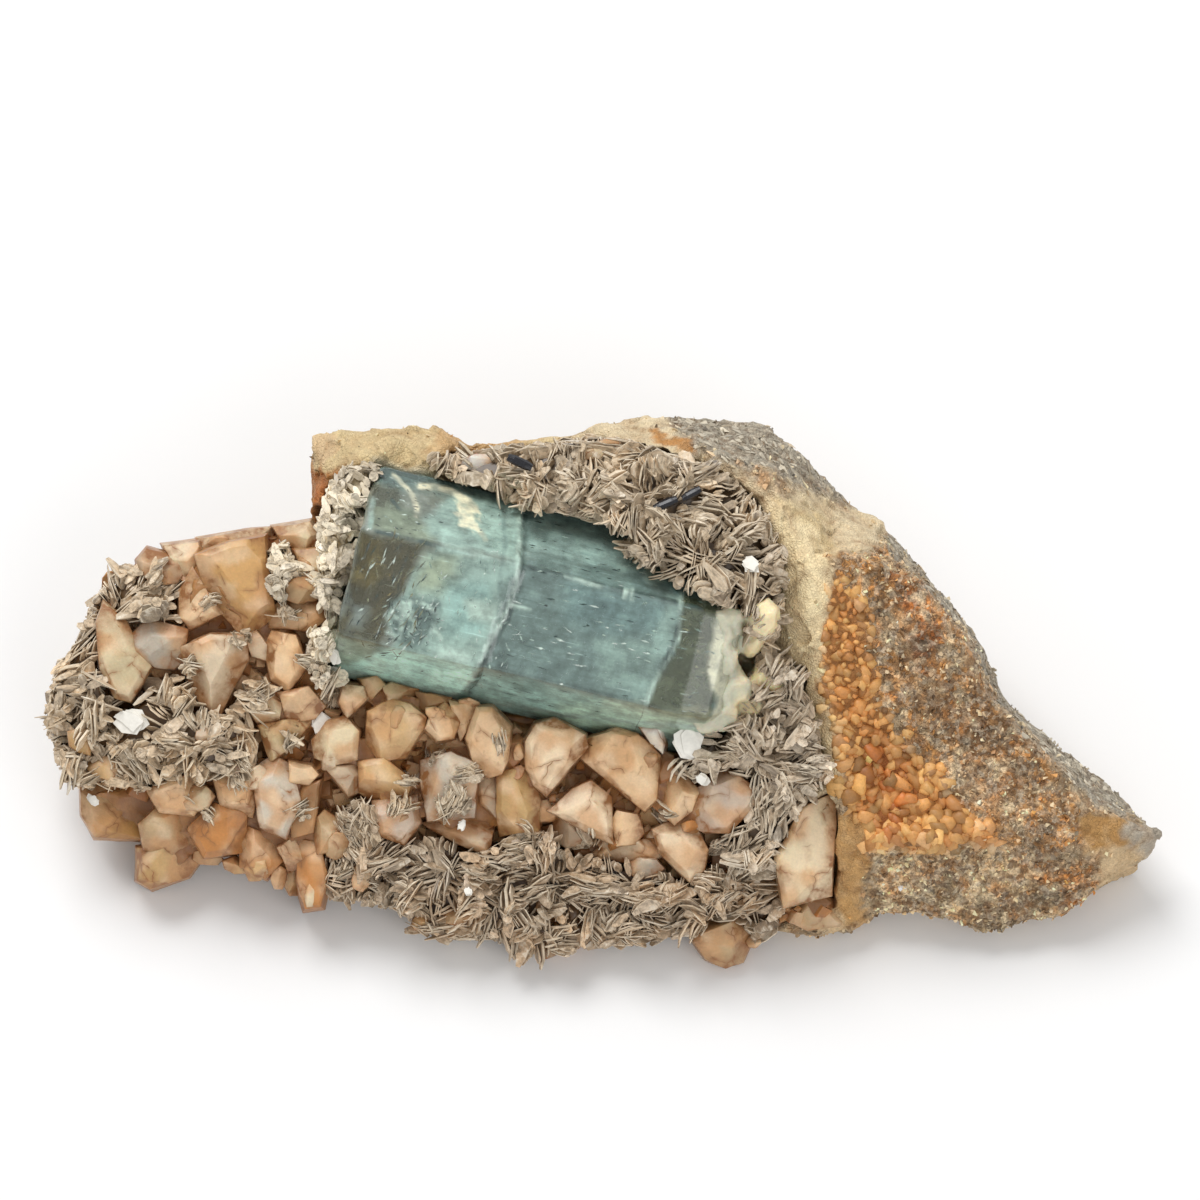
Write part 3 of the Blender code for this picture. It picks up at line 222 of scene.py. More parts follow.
# Blocky feldspar crystals: tone, level of the front face, its rise along u and v, outline.
FELDSPARS = (
    ("honey", 7.0, 0.05, 0.12, ((-25.3, -1.4), (-22.9, -0.2), (-20.9, -0.7), (-19.3, -2.0),
     (-19.5, -2.9), (-21.6, -6.0), (-24.0, -6.4), (-25.4, -4.6))),
    ("peach", 7.3, -0.18, 0.10, ((-19.1, -3.1), (-18.3, -1.4), (-17.0, -0.6), (-15.4, -2.0),
     (-16.2, -4.0), (-17.9, -4.3))),
    ("peach", 7.4, 0.22, 0.10, ((-14.5, -4.2), (-13.4, -1.0), (-12.0, -1.0), (-10.1, -2.9),
     (-10.2, -6.3), (-11.0, -7.8), (-12.2, -8.2), (-13.6, -6.9))),
    ("rust", 5.4, 0.00, 0.05, ((-9.9, -4.6), (-9.0, -4.0), (-8.3, -4.6), (-8.5, -6.3),
     (-9.7, -8.0), (-10.3, -7.1))),
    ("pale_peach", 7.7, 0.12, 0.24, ((-8.0, -4.6), (-6.9, -2.9), (-5.0, -2.4), (-1.9, -4.0),
     (-1.7, -5.0), (-5.9, -10.2), (-7.1, -9.2), (-7.8, -7.5))),
    ("yellow", 5.7, 0.10, 0.16, ((-11.0, -8.1), (-8.0, -7.5), (-6.9, -11.1), (-7.0, -14.1),
     (-10.7, -14.6), (-11.2, -12.0))),
    ("peach", 4.2, -0.20, 0.10, ((-7.1, -11.3), (-5.9, -11.1), (-4.9, -12.2), (-5.2, -13.1),
     (-6.5, -13.3), (-7.2, -12.6))),
    ("pale_peach", 5.9, -0.12, 0.26, ((-5.2, -12.1), (-2.9, -10.0), (-1.0, -9.2), (0.9, -10.8),
     (1.2, -15.5), (-0.4, -14.8))),
    ("peach", 7.0, 0.10, 0.20, ((-1.9, -6.2), (-1.2, -4.5), (1.9, -3.3), (4.0, -3.9), (6.3, -6.2),
     (6.0, -10.8), (4.9, -11.8), (1.3, -8.9))),
    ("peach", 4.6, 0.10, 0.30, ((1.3, -13.4), (1.9, -12.3), (4.0, -12.7), (4.6, -14.6),
     (3.8, -15.7), (1.9, -16.0))),
    ("white", 7.4, -0.25, 0.10, ((4.0, -2.2), (6.6, -2.2), (7.1, -4.7), (6.8, -5.6), (5.6, -4.6))),
    ("peach", 5.8, 0.12, 0.10, ((6.1, -9.6), (7.4, -8.5), (9.3, -8.7), (10.7, -10.0), (9.9, -12.1),
     (8.2, -13.4), (6.1, -11.5))),
    ("lavender", 6.4, -0.06, 0.16, ((9.9, -12.3), (11.0, -9.8), (13.9, -7.7), (16.6, -9.6),
     (16.9, -11.3), (14.1, -14.3), (11.6, -14.2), (9.9, -13.4))),
    ("pale_peach", 5.0, 0.10, 0.22, ((6.1, -14.4), (7.4, -13.8), (10.1, -13.8), (11.6, -16.5),
     (11.2, -18.6), (9.9, -19.7), (6.8, -16.7))),
    ("pale", 3.4, 0.00, 0.35, ((-0.2, -15.6), (1.7, -16.1), (5.7, -15.5), (6.8, -16.9),
     (4.4, -18.0), (0.9, -17.2))),
    ("cream", 5.0, -0.14, 0.12, ((19.4, -17.4), (21.1, -14.5), (22.4, -12.0), (25.9, -10.4),
     (25.1, -21.2), (20.4, -22.5))),
    ("rust", 5.2, 0.00, 0.10, ((6.5, -5.6), (8.0, -6.2), (8.4, -8.3), (6.6, -9.2), (6.3, -7.3))),
    ("cream", 6.6, 0.08, 0.18, ((-31.3, -4.6), (-29.8, -2.7), (-28.0, -2.1), (-26.7, -3.5),
     (-26.9, -6.3), (-29.2, -6.9), (-31.1, -6.1))),
    ("pale_peach", 6.8, -0.20, 0.10, ((-28.5, -0.2), (-28.0, 1.5), (-26.1, 1.3), (-25.6, 0.2),
     (-27.7, -1.7))),
    ("tan", 6.0, 0.15, 0.00, ((-26.1, 2.1), (-24.6, 2.4), (-23.7, 1.6), (-25.1, 0.2))),
    ("tan", 6.4, -0.10, 0.15, ((-23.7, 1.3), (-22.9, 1.7), (-20.4, 1.0), (-21.4, -0.7),
     (-23.3, 0.0))),
    ("brown", 5.6, 0.10, 0.10, ((-20.2, 0.8), (-16.6, 0.1), (-17.0, -0.7), (-18.6, -1.6),
     (-19.6, -0.9))),
    ("peach", 6.0, -0.20, 0.10, ((-16.4, -0.2), (-13.8, -0.8), (-14.7, -3.3), (-15.3, -4.2),
     (-15.8, -2.6))),
    ("taupe", 5.4, -0.15, 0.10, ((-30.3, -7.3), (-26.8, -7.2), (-26.4, -9.8), (-27.6, -10.4))),
    ("honey", 5.8, 0.18, 0.18, ((-26.3, -7.0), (-23.8, -6.6), (-21.0, -9.0), (-21.4, -10.4),
     (-24.7, -11.0), (-26.2, -10.0))),
    ("lavender", 5.2, -0.10, 0.16, ((-24.7, -11.4), (-20.4, -10.8), (-20.0, -13.4), (-21.6, -15.6),
     (-24.0, -14.7))),
    ("silver", 6.0, 0.12, 0.10, ((-19.4, -6.9), (-16.4, -5.9), (-13.6, -7.3), (-14.1, -12.6),
     (-18.7, -13.0), (-19.3, -9.6))),
    ("taupe", 4.2, 0.05, 0.40, ((-19.3, -13.6), (-16.4, -13.4), (-12.0, -13.9), (-12.4, -16.8),
     (-15.7, -15.5))),
    ("taupe", 4.4, 0.20, 0.10, ((-13.4, -8.6), (-11.5, -8.6), (-11.4, -12.9), (-13.0, -11.3))),
    ("orange", 1.9, 0.10, 0.18, ((-33.4, -15.5), (-31.0, -15.8), (-30.2, -19.3), (-30.9, -22.7),
     (-32.4, -22.9), (-33.2, -20.0))),
    ("brown", 3.8, 0.20, 0.16, ((-34.0, -9.6), (-30.9, -9.0), (-31.6, -14.5), (-33.8, -15.0))),
    ("peach", 5.0, 0.10, 0.20, ((-34.0, -6.9), (-31.8, -7.3), (-31.1, -8.2), (-32.0, -9.2),
     (-34.0, -8.9))),
    ("tan", 3.6, -0.10, 0.16, ((-31.5, -13.4), (-30.3, -12.4), (-28.8, -13.4), (-29.0, -16.4),
     (-31.0, -16.8))),
    ("pale", 1.6, 0.20, 0.20, ((-27.1, -17.6), (-25.8, -17.4), (-24.9, -19.3), (-26.5, -21.2),
     (-27.2, -19.7))),
    ("taupe", 3.2, 0.20, 0.20, ((-5.0, -13.4), (-4.0, -13.2), (-1.2, -15.2), (-3.5, -16.4),
     (-5.0, -15.1))),
    ("pale", 0.2, -0.10, 0.25, ((-5.9, -24.0), (-4.2, -22.9), (-1.4, -24.4), (-0.6, -26.0),
     (-2.7, -27.1), (-5.6, -28.2))),
    ("tan", 0.4, 0.05, 0.25, ((11.4, -24.5), (14.8, -24.0), (16.4, -26.3), (15.5, -28.7),
     (13.9, -29.3), (11.8, -28.4), (10.6, -26.6))),
    ("amber", 7.0, -0.08, 0.06, ((-44.1, 15.7), (-40.6, 17.1), (-37.2, 17.6), (-36.8, 13.0),
     (-35.9, 9.4), (-39.0, 7.3), (-41.6, 10.0), (-43.3, 13.0))),
    ("peach", 6.0, 0.00, 0.20, ((-35.9, 10.0), (-34.2, 11.1), (-30.9, 10.6), (-29.8, 9.2),
     (-32.1, 7.9), (-36.0, 8.3))),
    ("grey", 6.2, 0.06, 0.10, ((-51.0, 7.3), (-50.2, 8.1), (-48.1, 8.3), (-45.6, 7.5),
     (-45.9, 4.5), (-46.9, 3.7), (-48.8, 3.9), (-50.7, 5.6))),
    ("celadon", 5.6, 0.28, 0.10, ((-55.1, 8.5), (-54.4, 10.2), (-52.6, 8.8), (-51.1, 6.4),
     (-49.6, 3.7), (-51.7, 0.1), (-53.2, 0.5), (-54.7, 3.5))),
    ("pale", 7.0, -0.10, 0.14, ((-45.7, 5.6), (-42.7, 7.0), (-39.3, 6.9), (-39.0, 4.5),
     (-40.6, 1.2), (-41.8, -1.1), (-43.5, -0.5), (-45.2, 3.1))),
    ("taupe", 4.4, 0.15, -0.10, ((-50.7, 15.3), (-49.8, 16.3), (-47.9, 15.8), (-46.0, 14.2),
     (-46.5, 13.2), (-49.0, 12.9), (-50.4, 14.2))),
    ("peach", 6.0, 0.16, 0.16, ((-46.0, 11.9), (-44.8, 14.0), (-43.1, 11.3), (-41.8, 9.6),
     (-45.0, 8.1), (-46.0, 9.4))),
    ("peach", 6.2, 0.10, 0.20, ((-36.6, 5.4), (-35.9, 7.3), (-33.6, 6.9), (-32.4, 3.9),
     (-34.2, 1.2), (-35.9, 2.4))),
    ("pale", 5.2, 0.00, 0.20, ((-38.9, 7.1), (-37.8, 7.5), (-36.5, 5.8), (-36.8, 4.5),
     (-38.2, 4.9))),
    ("yellow_cream", 5.6, 0.10, 0.26, ((-37.3, -2.9), (-34.5, -2.5), (-32.1, -2.4), (-33.8, -4.9),
     (-36.1, -6.4))),
    ("silver", 4.8, 0.14, 0.14, ((-38.1, -7.7), (-35.8, -6.4), (-34.1, -7.4), (-33.2, -11.0),
     (-34.7, -14.9), (-37.2, -13.8))),
    ("peach", 6.0, -0.10, 0.20, ((-34.9, 0.5), (-32.1, 1.2), (-30.5, -0.7), (-31.5, -1.8),
     (-34.2, -2.2))),
    ("cream", 5.7, 0.20, 0.20, ((-38.5, -1.1), (-36.2, 0.3), (-35.1, -0.5), (-35.3, -2.2),
     (-37.4, -2.6))),
    ("straw", -0.4, -0.16, 0.14, ((-57.0, -9.9), (-55.0, -9.3), (-50.6, -9.9), (-49.4, -12.7),
     (-50.8, -15.2), (-55.6, -14.9), (-56.9, -12.7))),
    ("tan", 1.0, 0.10, 0.30, ((-50.6, -13.8), (-49.0, -12.3), (-45.9, -13.2), (-45.2, -15.4),
     (-47.3, -16.8), (-50.1, -16.3))),
    ("yellow", -0.6, 0.12, 0.24, ((-50.8, -16.7), (-48.4, -16.3), (-44.1, -17.1), (-45.7, -19.3),
     (-49.5, -20.6), (-50.9, -19.8))),
    ("peach", 2.2, -0.10, 0.22, ((-35.3, -16.3), (-33.8, -15.3), (-33.2, -16.5), (-32.6, -18.5),
     (-34.3, -18.5))),
    ("orange", 2.8, 0.16, 0.22, ((-45.1, -14.3), (-42.4, -11.6), (-39.1, -12.7), (-39.6, -16.5),
     (-43.5, -17.1))),
    ("peach", 4.0, 0.20, 0.16, ((-42.4, -8.3), (-39.6, -7.7), (-37.8, -9.9), (-38.5, -12.5),
     (-41.6, -11.4))),
    ("orange", 1.6, -0.10, 0.26, ((-39.4, -14.0), (-36.3, -15.1), (-34.9, -17.4), (-36.9, -19.4),
     (-39.4, -18.2))),
    ("peach", 3.0, -0.12, 0.26, ((-49.5, -9.9), (-45.1, -8.3), (-42.6, -9.9), (-44.8, -12.5),
     (-48.4, -12.1))),
    ("cream", 4.0, 0.10, -0.20, ((-47.7, 16.8), (-44.3, 17.2), (-43.7, 15.9), (-45.6, 13.8),
     (-46.9, 15.1))),
    ("cream", 3.0, 0.05, -0.40, ((-43.9, 17.5), (-38.5, 18.4), (-35.9, 18.8), (-36.8, 17.6),
     (-40.6, 17.2), (-43.3, 16.3))),
    ("cream", 3.4, 0.05, -0.25, ((-35.5, 18.8), (-32.1, 19.3), (-30.9, 17.2), (-32.6, 16.5),
     (-34.9, 17.6))),
    ("yellow_cream", 5.2, 0.10, 0.10, ((-33.4, 16.3), (-30.9, 16.5), (-30.9, 13.2),
     (-32.4, 13.6))),
)

# Small crystals set in the mica and in the gaps: tone, pixel, length and width in pixels,
# turn in degrees, and how far they stand out.
SMALL_CRYSTALS = (
    ("pale_peach", 362, 876, 33, 19, 80, 0.8), ("tan", 456, 917, 25, 16, 10, 0.6),
    ("honey", 420, 923, 16, 13, 40, 0.4), ("taupe", 548, 905, 26, 17, 20, 0.5),
    ("lavender", 728, 864, 36, 22, 5, 0.6), ("grey", 645, 868, 34, 21, 0, 0.7),
    ("tan", 304, 590, 38, 24, 12, 0.8), ("honey", 305, 568, 22, 11, -50, 0.6),
    ("yellow", 107, 580, 17, 10, 60, 0.4), ("honey", 104, 768, 38, 25, -22, 0.5),
    ("yellow", 80, 742, 30, 18, -50, 0.2), ("tan", 336, 846, 26, 20, 60, 0.6),
    ("lavender", 218, 622, 30, 16, 10, -0.5), ("cream", 754, 942, 12, 10, 30, 0.3),
    ("pale", 256, 777, 26, 22, 30, 0.6), ("cream", 196, 798, 34, 26, 15, 0.6),
    ("taupe", 402, 824, 22, 14, 60, 0.4), ("peach", 604, 852, 20, 13, 30, 0.5),
    ("rust", 518, 772, 14, 10, 70, 0.8), ("peach", 520, 752, 16, 11, 80, 1.0),
    ("tan", 372, 806, 22, 15, -30, 0.4), ("pale_peach", 655, 838, 18, 13, 20, 0.6),
    ("brown", 560, 800, 16, 11, 50, 0.4), ("peach", 470, 706, 22, 13, -15, 0.6),
    ("tan", 398, 716, 22, 12, 70, 0.4), ("peach", 436, 714, 20, 12, -20, 0.5),
    ("orange", 690, 826, 14, 10, 0, 0.4), ("tan", 818, 914, 56, 34, 0, 0.3),
    ("honey", 236, 866, 28, 14, -8, 0.2), ("honey", 256, 868, 26, 22, 80, 0.5),
    ("peach", 278, 878, 22, 12, 80, 0.3), ("honey", 294, 882, 30, 18, 80, 0.5),
    ("cream", 312, 896, 24, 14, 75, 0.3), ("tan", 206, 858, 28, 14, -10, 0.3),
    ("peach", 242, 738, 18, 14, 20, 0.4), ("lavender", 236, 762, 24, 18, 60, 0.3),
    ("taupe", 205, 735, 18, 14, 40, 0.3), ("pale", 330, 760, 18, 14, 70, 0.5),
    ("cream", 610, 446, 26, 12, 5, 0.3), ("white", 478, 462, 34, 14, 10, 0.2),
    ("cream", 590, 452, 30, 13, -6, 0.4), ("tan", 806, 706, 18, 13, 60, 0.3),
    ("orange_brown", 650, 760, 16, 10, 40, 0.4), ("honey", 668, 752, 12, 9, 0, 0.3),
)

# Milky lumps where the crystal's right end meets the rock, in the same terms but the tone.
END_LUMPS = (
    (726, 624, 34, 30, 80, 0.2), (722, 656, 36, 30, 70, 0.4),
    (728, 686, 40, 38, 60, 0.4), (720, 714, 34, 26, 20, 0.2),
    (746, 636, 38, 32, 60, 0.6), (748, 664, 40, 34, 80, 0.5),
    (746, 700, 40, 34, 40, 0.4), (766, 646, 36, 32, 80, 0.5),
    (762, 618, 36, 26, 70, 0.4), (704, 724, 26, 14, -10, 0.1),
    (770, 676, 34, 30, 30, 0.4), (754, 660, 38, 34, 60, 1.1),
)

# Mica masses: spacing of the books in millimetres, tone, share of books that lie flat, which also
# lightens the painted shade of the ground.
MICA_MASSES = {
    "muscovite_above_aquamarine": (0.80, "mica", 0.12),
    "muscovite_beside_rim": (0.80, "mica_grey", 0.30),
    "muscovite_lower_edge": (0.84, "mica_brown", 0.15),
    "muscovite_left_lobe": (0.84, "mica_pale", 0.40),
    "muscovite_behind_left_end": (0.74, "mica_taupe", 0.85),
}

# Mica rosettes, as photograph pixels and a radius in millimetres.
ROSETTES = ((443, 869, 4.5), (553, 885, 4.5), (626, 893, 4.0), (700, 560, 4.0),
            (640, 500, 3.5), (500, 480, 3.0), (760, 760, 4.0), (110, 620, 4.0),
            (200, 745, 4.0), (650, 455, 3.5))

# Places between the feldspar crystals with small mica books: pixel, radius, how many.
STRAY_MICA = ((330, 690, 15, 26), (316, 660, 12, 16), (256, 692, 14, 22), (187, 668, 9, 12),
              (158, 592, 11, 14), (362, 838, 20, 40), (346, 868, 13, 18), (452, 800, 16, 24),
              (470, 772, 8, 10), (522, 838, 12, 16), (398, 806, 9, 10), (592, 838, 10, 12),
              (662, 812, 8, 10), (302, 812, 10, 12), (236, 770, 14, 20), (436, 752, 8, 8),
              (290, 742, 8, 8), (410, 776, 7, 8), (560, 800, 6, 7), (204, 806, 12, 14),
              (244, 640, 9, 10), (214, 600, 7, 8), (288, 610, 8, 10), (500, 742, 5, 6))

# Silvery flakes that face the viewer: pixel, half width, turn in degrees.
SILVER_FLAKES = ((322, 724, 1.75, 20), (133, 720, 2.1, 70), (751, 566, 1.2, 70),
                 (338, 655, 1.0, 10), (336, 669, 0.8, 60), (470, 893, 0.6, 30),
                 (688, 742, 2.2, 20), (462, 826, 0.7, 0), (92, 800, 0.8, 30),
                 (704, 776, 0.9, 50))

# Black tourmaline needles: both ends as pixels, and the half width in millimetres.
NEEDLES = (((508, 458), (532, 469), 0.5), ((654, 510), (677, 500), 0.5),
           ((682, 500), (700, 490), 0.45))

# Places in the mica that stay free of books: pixel and radius in millimetres.
FREE_PLACES = (*((x, y, half + 0.3) for x, y, half, _ in SILVER_FLAKES),
               *((x, y, (length + width) * 0.021) for _, x, y, length, width, _, _ in
                 SMALL_CRYSTALS),
               *(((a[0] + b[0]) / 2, (a[1] + b[1]) / 2, 1.1) for a, b, _ in NEEDLES),
               *((*a, 0.7) for a, _, _ in NEEDLES), *((*b, 0.7) for _, b, _ in NEEDLES))

# Inside the aquamarine, from front to back of the list: tone, milkiness, softness, outline.
CRYSTAL_ZONES = (
    ("pale_teal", 0.72, 1.0, ((330, 460), (520, 495), (520, 560), (465, 700), (325, 672))),
    ("grey_teal", 0.55, 1.0, ((372, 458), (430, 470), (520, 496), (524, 512), (470, 502),
     (420, 492), (392, 492), (378, 484))),
    ("olive_grey", 0.45, 0.9, ((372, 484), (398, 490), (404, 526), (372, 528))),
    ("pale_green", 0.60, 0.9, ((374, 505), (410, 512), (440, 540), (430, 546), (374, 530))),
    ("mint", 0.85, 1.0, ((484, 492), (520, 504), (520, 564), (440, 546), (424, 520), (450, 500))),
    ("olive", 0.62, 0.7, ((361, 529), (428, 546), (411, 578), (402, 597), (387, 615), (390, 636),
     (372, 654), (328, 668), (330, 640), (350, 600))),
    ("olive_yellow", 0.55, 1.0, ((364, 533), (382, 536), (384, 572), (370, 590), (356, 580))),
    ("celadon_teal", 0.7, 1.0, ((352, 600), (370, 606), (364, 628), (350, 630))),
    ("pale_olive", 0.60, 1.2, ((336, 636), (372, 642), (360, 664), (326, 668))),
    ("mint", 0.92, 0.5, ((428, 549), (519, 563), (517, 582), (505, 619), (489, 644), (477, 670),
     (463, 694), (396, 684), (333, 667), (374, 656), (402, 640), (390, 632), (388, 614),
     (403, 594), (412, 576))),
    ("pale_green", 0.90, 1.8, ((424, 553), (460, 556), (454, 590), (416, 592))),
    ("blue_mint", 0.92, 1.4, ((448, 580), (492, 586), (486, 632), (446, 636))),
    ("bright_mint", 0.95, 1.4, ((440, 648), (476, 652), (466, 684), (430, 676))),
    ("grey_teal", 0.65, 0.7, ((391, 600), (420, 596), (442, 604), (434, 632), (420, 644),
     (394, 636))),
    ("bright_mint", 0.95, 0.7, ((398, 604), (412, 602), (416, 618), (402, 622))),
    ("bright_mint", 0.92, 0.8, ((466, 600), (500, 604), (496, 624), (470, 620))),
    ("teal", 0.78, 1.0, ((524, 500), (720, 500), (722, 730), (470, 730), (466, 694), (480, 668),
     (508, 620), (521, 580))),
    # Painted light: a lighter milky teal below the mica's overhang, lifting the shadow the mica
    # casts on the crystal.
    ("milky_teal_painted_light", 0.85, 1.2, ((524, 502), (640, 520), (722, 596), (650, 580), (600, 566),
     (524, 556))),
    ("grey_teal", 0.72, 1.6, ((508, 574), (562, 586), (560, 640), (540, 700), (470, 694),
     (498, 640))),
    ("blue_teal", 0.78, 1.8, ((562, 580), (676, 606), (668, 630), (600, 636), (566, 620))),
    ("deep_teal", 0.78, 1.4, ((584, 592), (626, 602), (616, 620), (586, 614))),
    ("light_teal", 0.82, 1.8, ((596, 640), (668, 640), (650, 700), (600, 690))),
    ("light_teal", 0.84, 0.8, ((668, 596), (681, 598), (674, 644), (660, 668), (650, 690),
     (644, 690), (654, 650))),
    ("pale_green", 0.82, 1.4, ((560, 700), (700, 706), (712, 730), (560, 732))),
    ("olive_teal", 0.62, 0.6, ((682, 594), (722, 604), (718, 640), (712, 722), (690, 712),
     (644, 708), (664, 668), (677, 642))),
    ("pale_olive", 0.78, 0.9, ((660, 712), (712, 706), (714, 730), (640, 730))),
    ("milky_green", 0.95, 0.5, ((717, 606), (740, 600), (744, 730), (706, 730), (714, 697),
     (707, 672), (709, 643), (717, 620))),
    ("mint", 0.92, 0.5, ((648, 571), (660, 574), (658, 583), (645, 580))),
)

# Fine lines inside it: tone, half width in millimetres, pixels along the line.
CRYSTAL_LINES = (
    ("bright_mint", 0.22, ((388, 617), (395, 608), (402, 604), (420, 601), (438, 612),
     (435, 624))),
    ("bright_mint", 0.2, ((389, 632), (401, 637), (404, 622), (396, 616))),
    ("bright_mint", 0.16, ((412, 604), (409, 616), (417, 622), (411, 634))),
    ("bright_mint", 0.14, ((443, 640), (436, 628), (427, 637))),
    ("dark_line", 0.1, ((384, 622), (392, 626), (398, 624))),
    ("dark_line", 0.12, ((422, 642), (421, 630), (427, 620), (424, 608))),
    # Along the edge between the upper and the main face: a painted dark line and a painted
    # highlight.
    ("dark_line", 0.20, ((378, 532), (412, 539), (440, 547))),
    ("dark_line", 0.22, ((521, 566), (548, 572), (590, 583), (634, 593), (700, 609))),
    ("bright_mint", 0.16, ((566, 577), (600, 587))),
    ("mint", 0.22, ((440, 549), (480, 557), (519, 566))),
    ("dark_line", 0.22, ((384, 461), (430, 474), (480, 486), (519, 496))),
    ("bright_mint", 0.26, ((521, 500), (521, 530), (519, 562), (517, 584), (509, 610), (503, 622),
     (490, 642), (478, 668), (466, 692))),
    ("dark_line", 0.25, ((525, 504), (524, 560), (521, 586), (508, 620), (494, 644), (482, 668),
     (470, 694))),
    ("grey_teal", 0.22, ((503, 518), (506, 540), (502, 570), (500, 596))),
    ("bright_mint", 0.20, ((681, 594), (677, 640), (662, 666), (652, 686), (645, 708))),
    ("dark_line", 0.20, ((680, 612), (672, 646), (660, 668))),
    ("inclusion", 0.22, ((394, 476), (405, 486), (413, 496), (418, 510), (417, 516))),
    ("dark_line", 0.16, ((392, 500), (402, 512), (414, 515))),
    ("inclusion", 0.32, ((420, 487), (434, 488), (452, 492), (466, 500), (475, 508))),
    ("inclusion", 0.20, ((472, 524), (480, 532), (486, 540))),
    ("mint", 0.22, ((484, 486), (512, 495), (519, 500))),
    ("bright_mint", 0.22, ((333, 668), (400, 684), (462, 697))),
    ("bright_mint", 0.18, ((470, 697), (560, 714), (640, 722), (700, 726))),
    ("mint", 0.25, ((374, 500), (372, 528))),
    ("bright_mint", 0.18, ((626, 590), (624, 598))),
    ("bright_mint", 0.18, ((632, 590), (631, 600))),
    ("bright_mint", 0.16, ((512, 605), (530, 609))),
)

# Slivers inside it: count, range in x and in y, turn, spread, length, tones.
SLIVERS = (
    (120, 350, 425, 534, 660, 62, 16, 2.2, ("glint", "pale_olive", "dark_line", "dark_line",
     "olive_grey", "olive_yellow")),
    (70, 386, 442, 592, 648, 40, 50, 0.9, ("glint", "bright_mint", "glint", "dark_line")),
    (60, 378, 445, 470, 535, -30, 40, 0.9, ("bright_mint", "glint", "dark_line")),
    (60, 480, 522, 495, 690, 75, 18, 0.9, ("bright_mint", "glint", "grey_teal")),
    (120, 500, 690, 560, 715, -14, 7, 1.4, ("bright_mint", "mint", "dark_line", "glint")),
    (50, 525, 640, 510, 580, -14, 10, 1.1, ("bright_mint", "mint", "dark_line")),
    (40, 680, 716, 600, 715, -14, 16, 1.2, ("mint", "pale_olive", "dark_line")),
    (60, 420, 510, 550, 690, 70, 25, 1.0, ("bright_mint", "glint", "mint")),
)

# The pale inclusion near the crystal's upper edge.
INCLUSION = ((452, 500), (466, 497), (478, 506), (479, 520), (473, 530), (462, 528), (457, 514))


def rgb(name):
    """A palette colour as linear light."""
    shares = np.array(PALETTE[name]) / 255.0
    return np.where(shares < 0.04045, shares / 12.92, ((shares + 0.055) / 1.055) ** 2.4)


def held(values, low=0.0, high=1.0):
    """The values kept within a range."""
    return np.clip(values, low, high)


def towards(tone, name, share):
    """A tone moved towards a palette colour, by a share for each point."""
    return tone + (rgb(name) - tone) * share[:, None]


def paint_of(rows, tone, mask=0.0):
    """Paint for each point or face: its tone and an extra mask."""
    paint = np.empty((len(rows), 4))
    paint[:, :3] = tone
    paint[:, 3] = mask
    return paint


def unit(rows):
    """Directions of length one."""
    return rows / np.linalg.norm(rows, axis=1)[:, None]


def on_face(pixel):
    """Where a pixel of the photograph lies on the face, in millimetres."""
    x, y = pixel
    return ((x - PHOTO_ORIGIN[0]) * PHOTO_MM_PER_PIXEL, (PHOTO_ORIGIN[1] - y) * PHOTO_MM_PER_PIXEL)


def to_world(points):
    """Face millimetres to metres of the specimen."""
    return (np.asarray(points, float) @ FACE_AXES + (0.0, 0.0, FACE_HEIGHT)) * MM


def to_face(points):
    """Metres of the specimen to face millimetres."""
    return (np.asarray(points, float) / MM - (0.0, 0.0, FACE_HEIGHT)) @ FACE_AXES.T


def node_arrays(name):
    """The points in face millimetres and the triangles of one CAD node."""
    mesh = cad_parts[name].data
    mesh.calc_loop_triangles()
    places = np.zeros(len(mesh.vertices) * 3)
    mesh.vertices.foreach_get("co", places)
    triangles = np.zeros(len(mesh.loop_triangles) * 3, int)
    mesh.loop_triangles.foreach_get("vertices", triangles)
    return to_face(places.reshape(-1, 3)), triangles.reshape(-1, 3)


NODE_SHAPES = {name: node_arrays(name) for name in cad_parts}


def tree_of(names):
    """One search tree over several CAD nodes, in face millimetres."""
    points, triangles = [], []
    for name in names:
        spots, faces = NODE_SHAPES[name]
        triangles += (faces + len(points)).tolist()
        points += spots.tolist()
    return BVHTree.FromPolygons(points, triangles)


def all_but(left_out):
    """One search tree over the CAD nodes except one."""
    return tree_of([name for name in NODE_SHAPES if name != left_out])


WHOLE = tree_of(NODE_SHAPES)
CRYSTAL = tree_of(["aquamarine_crystal"])


def surface_at(u, v):
    """The outermost point of the specimen at a place of the face, and its direction."""
    found, direction, _, _ = WHOLE.ray_cast(Vector((u, v, RAY_START)), -OUT)
    if found is None:
        found, direction, _, _ = WHOLE.find_nearest(Vector((u, v, 0.0)))
    return found, direction


def ripple(points, size, shift=0.0):
    """Smooth noise between about -1 and 1 at each point."""
    return np.array([noise.noise(p) for p in (points / size + shift).tolist()])


def cells(points, size, shift=0.0):
    """Distance to the nearest cell centre and the margin to the next, in cells."""
    near, margin = [], []
    for spot in (points / size + shift).tolist():
        distances, _ = noise.voronoi(spot)
        near.append(distances[0])
        margin.append(distances[1] - distances[0])
    return np.array(near), np.array(margin)


def patchwork(points, size, shift=0.0):
    """Three random numbers at each point that stay the same over patches of one size."""
    rows = []
    for spot in (points / size + shift).tolist():
        _, centres = noise.voronoi(spot)
        rows.append(noise.cell_vector(centres[0] * CELL_STRIDE))
    return np.array(rows)


def broken(points, size, shift=0.0):
    """The height of flat facets that meet in steps, as where a mineral breaks."""
    heights = []
    for spot in (points / size + shift).tolist():
        _, centres = noise.voronoi(spot)
        tilt = noise.cell_vector(centres[0] * CELL_STRIDE) - Vector((0.5, 0.5, 0.5))
        heights.append((Vector(spot) - centres[0]).dot(tilt) * 2.0)
    return np.array(heights)


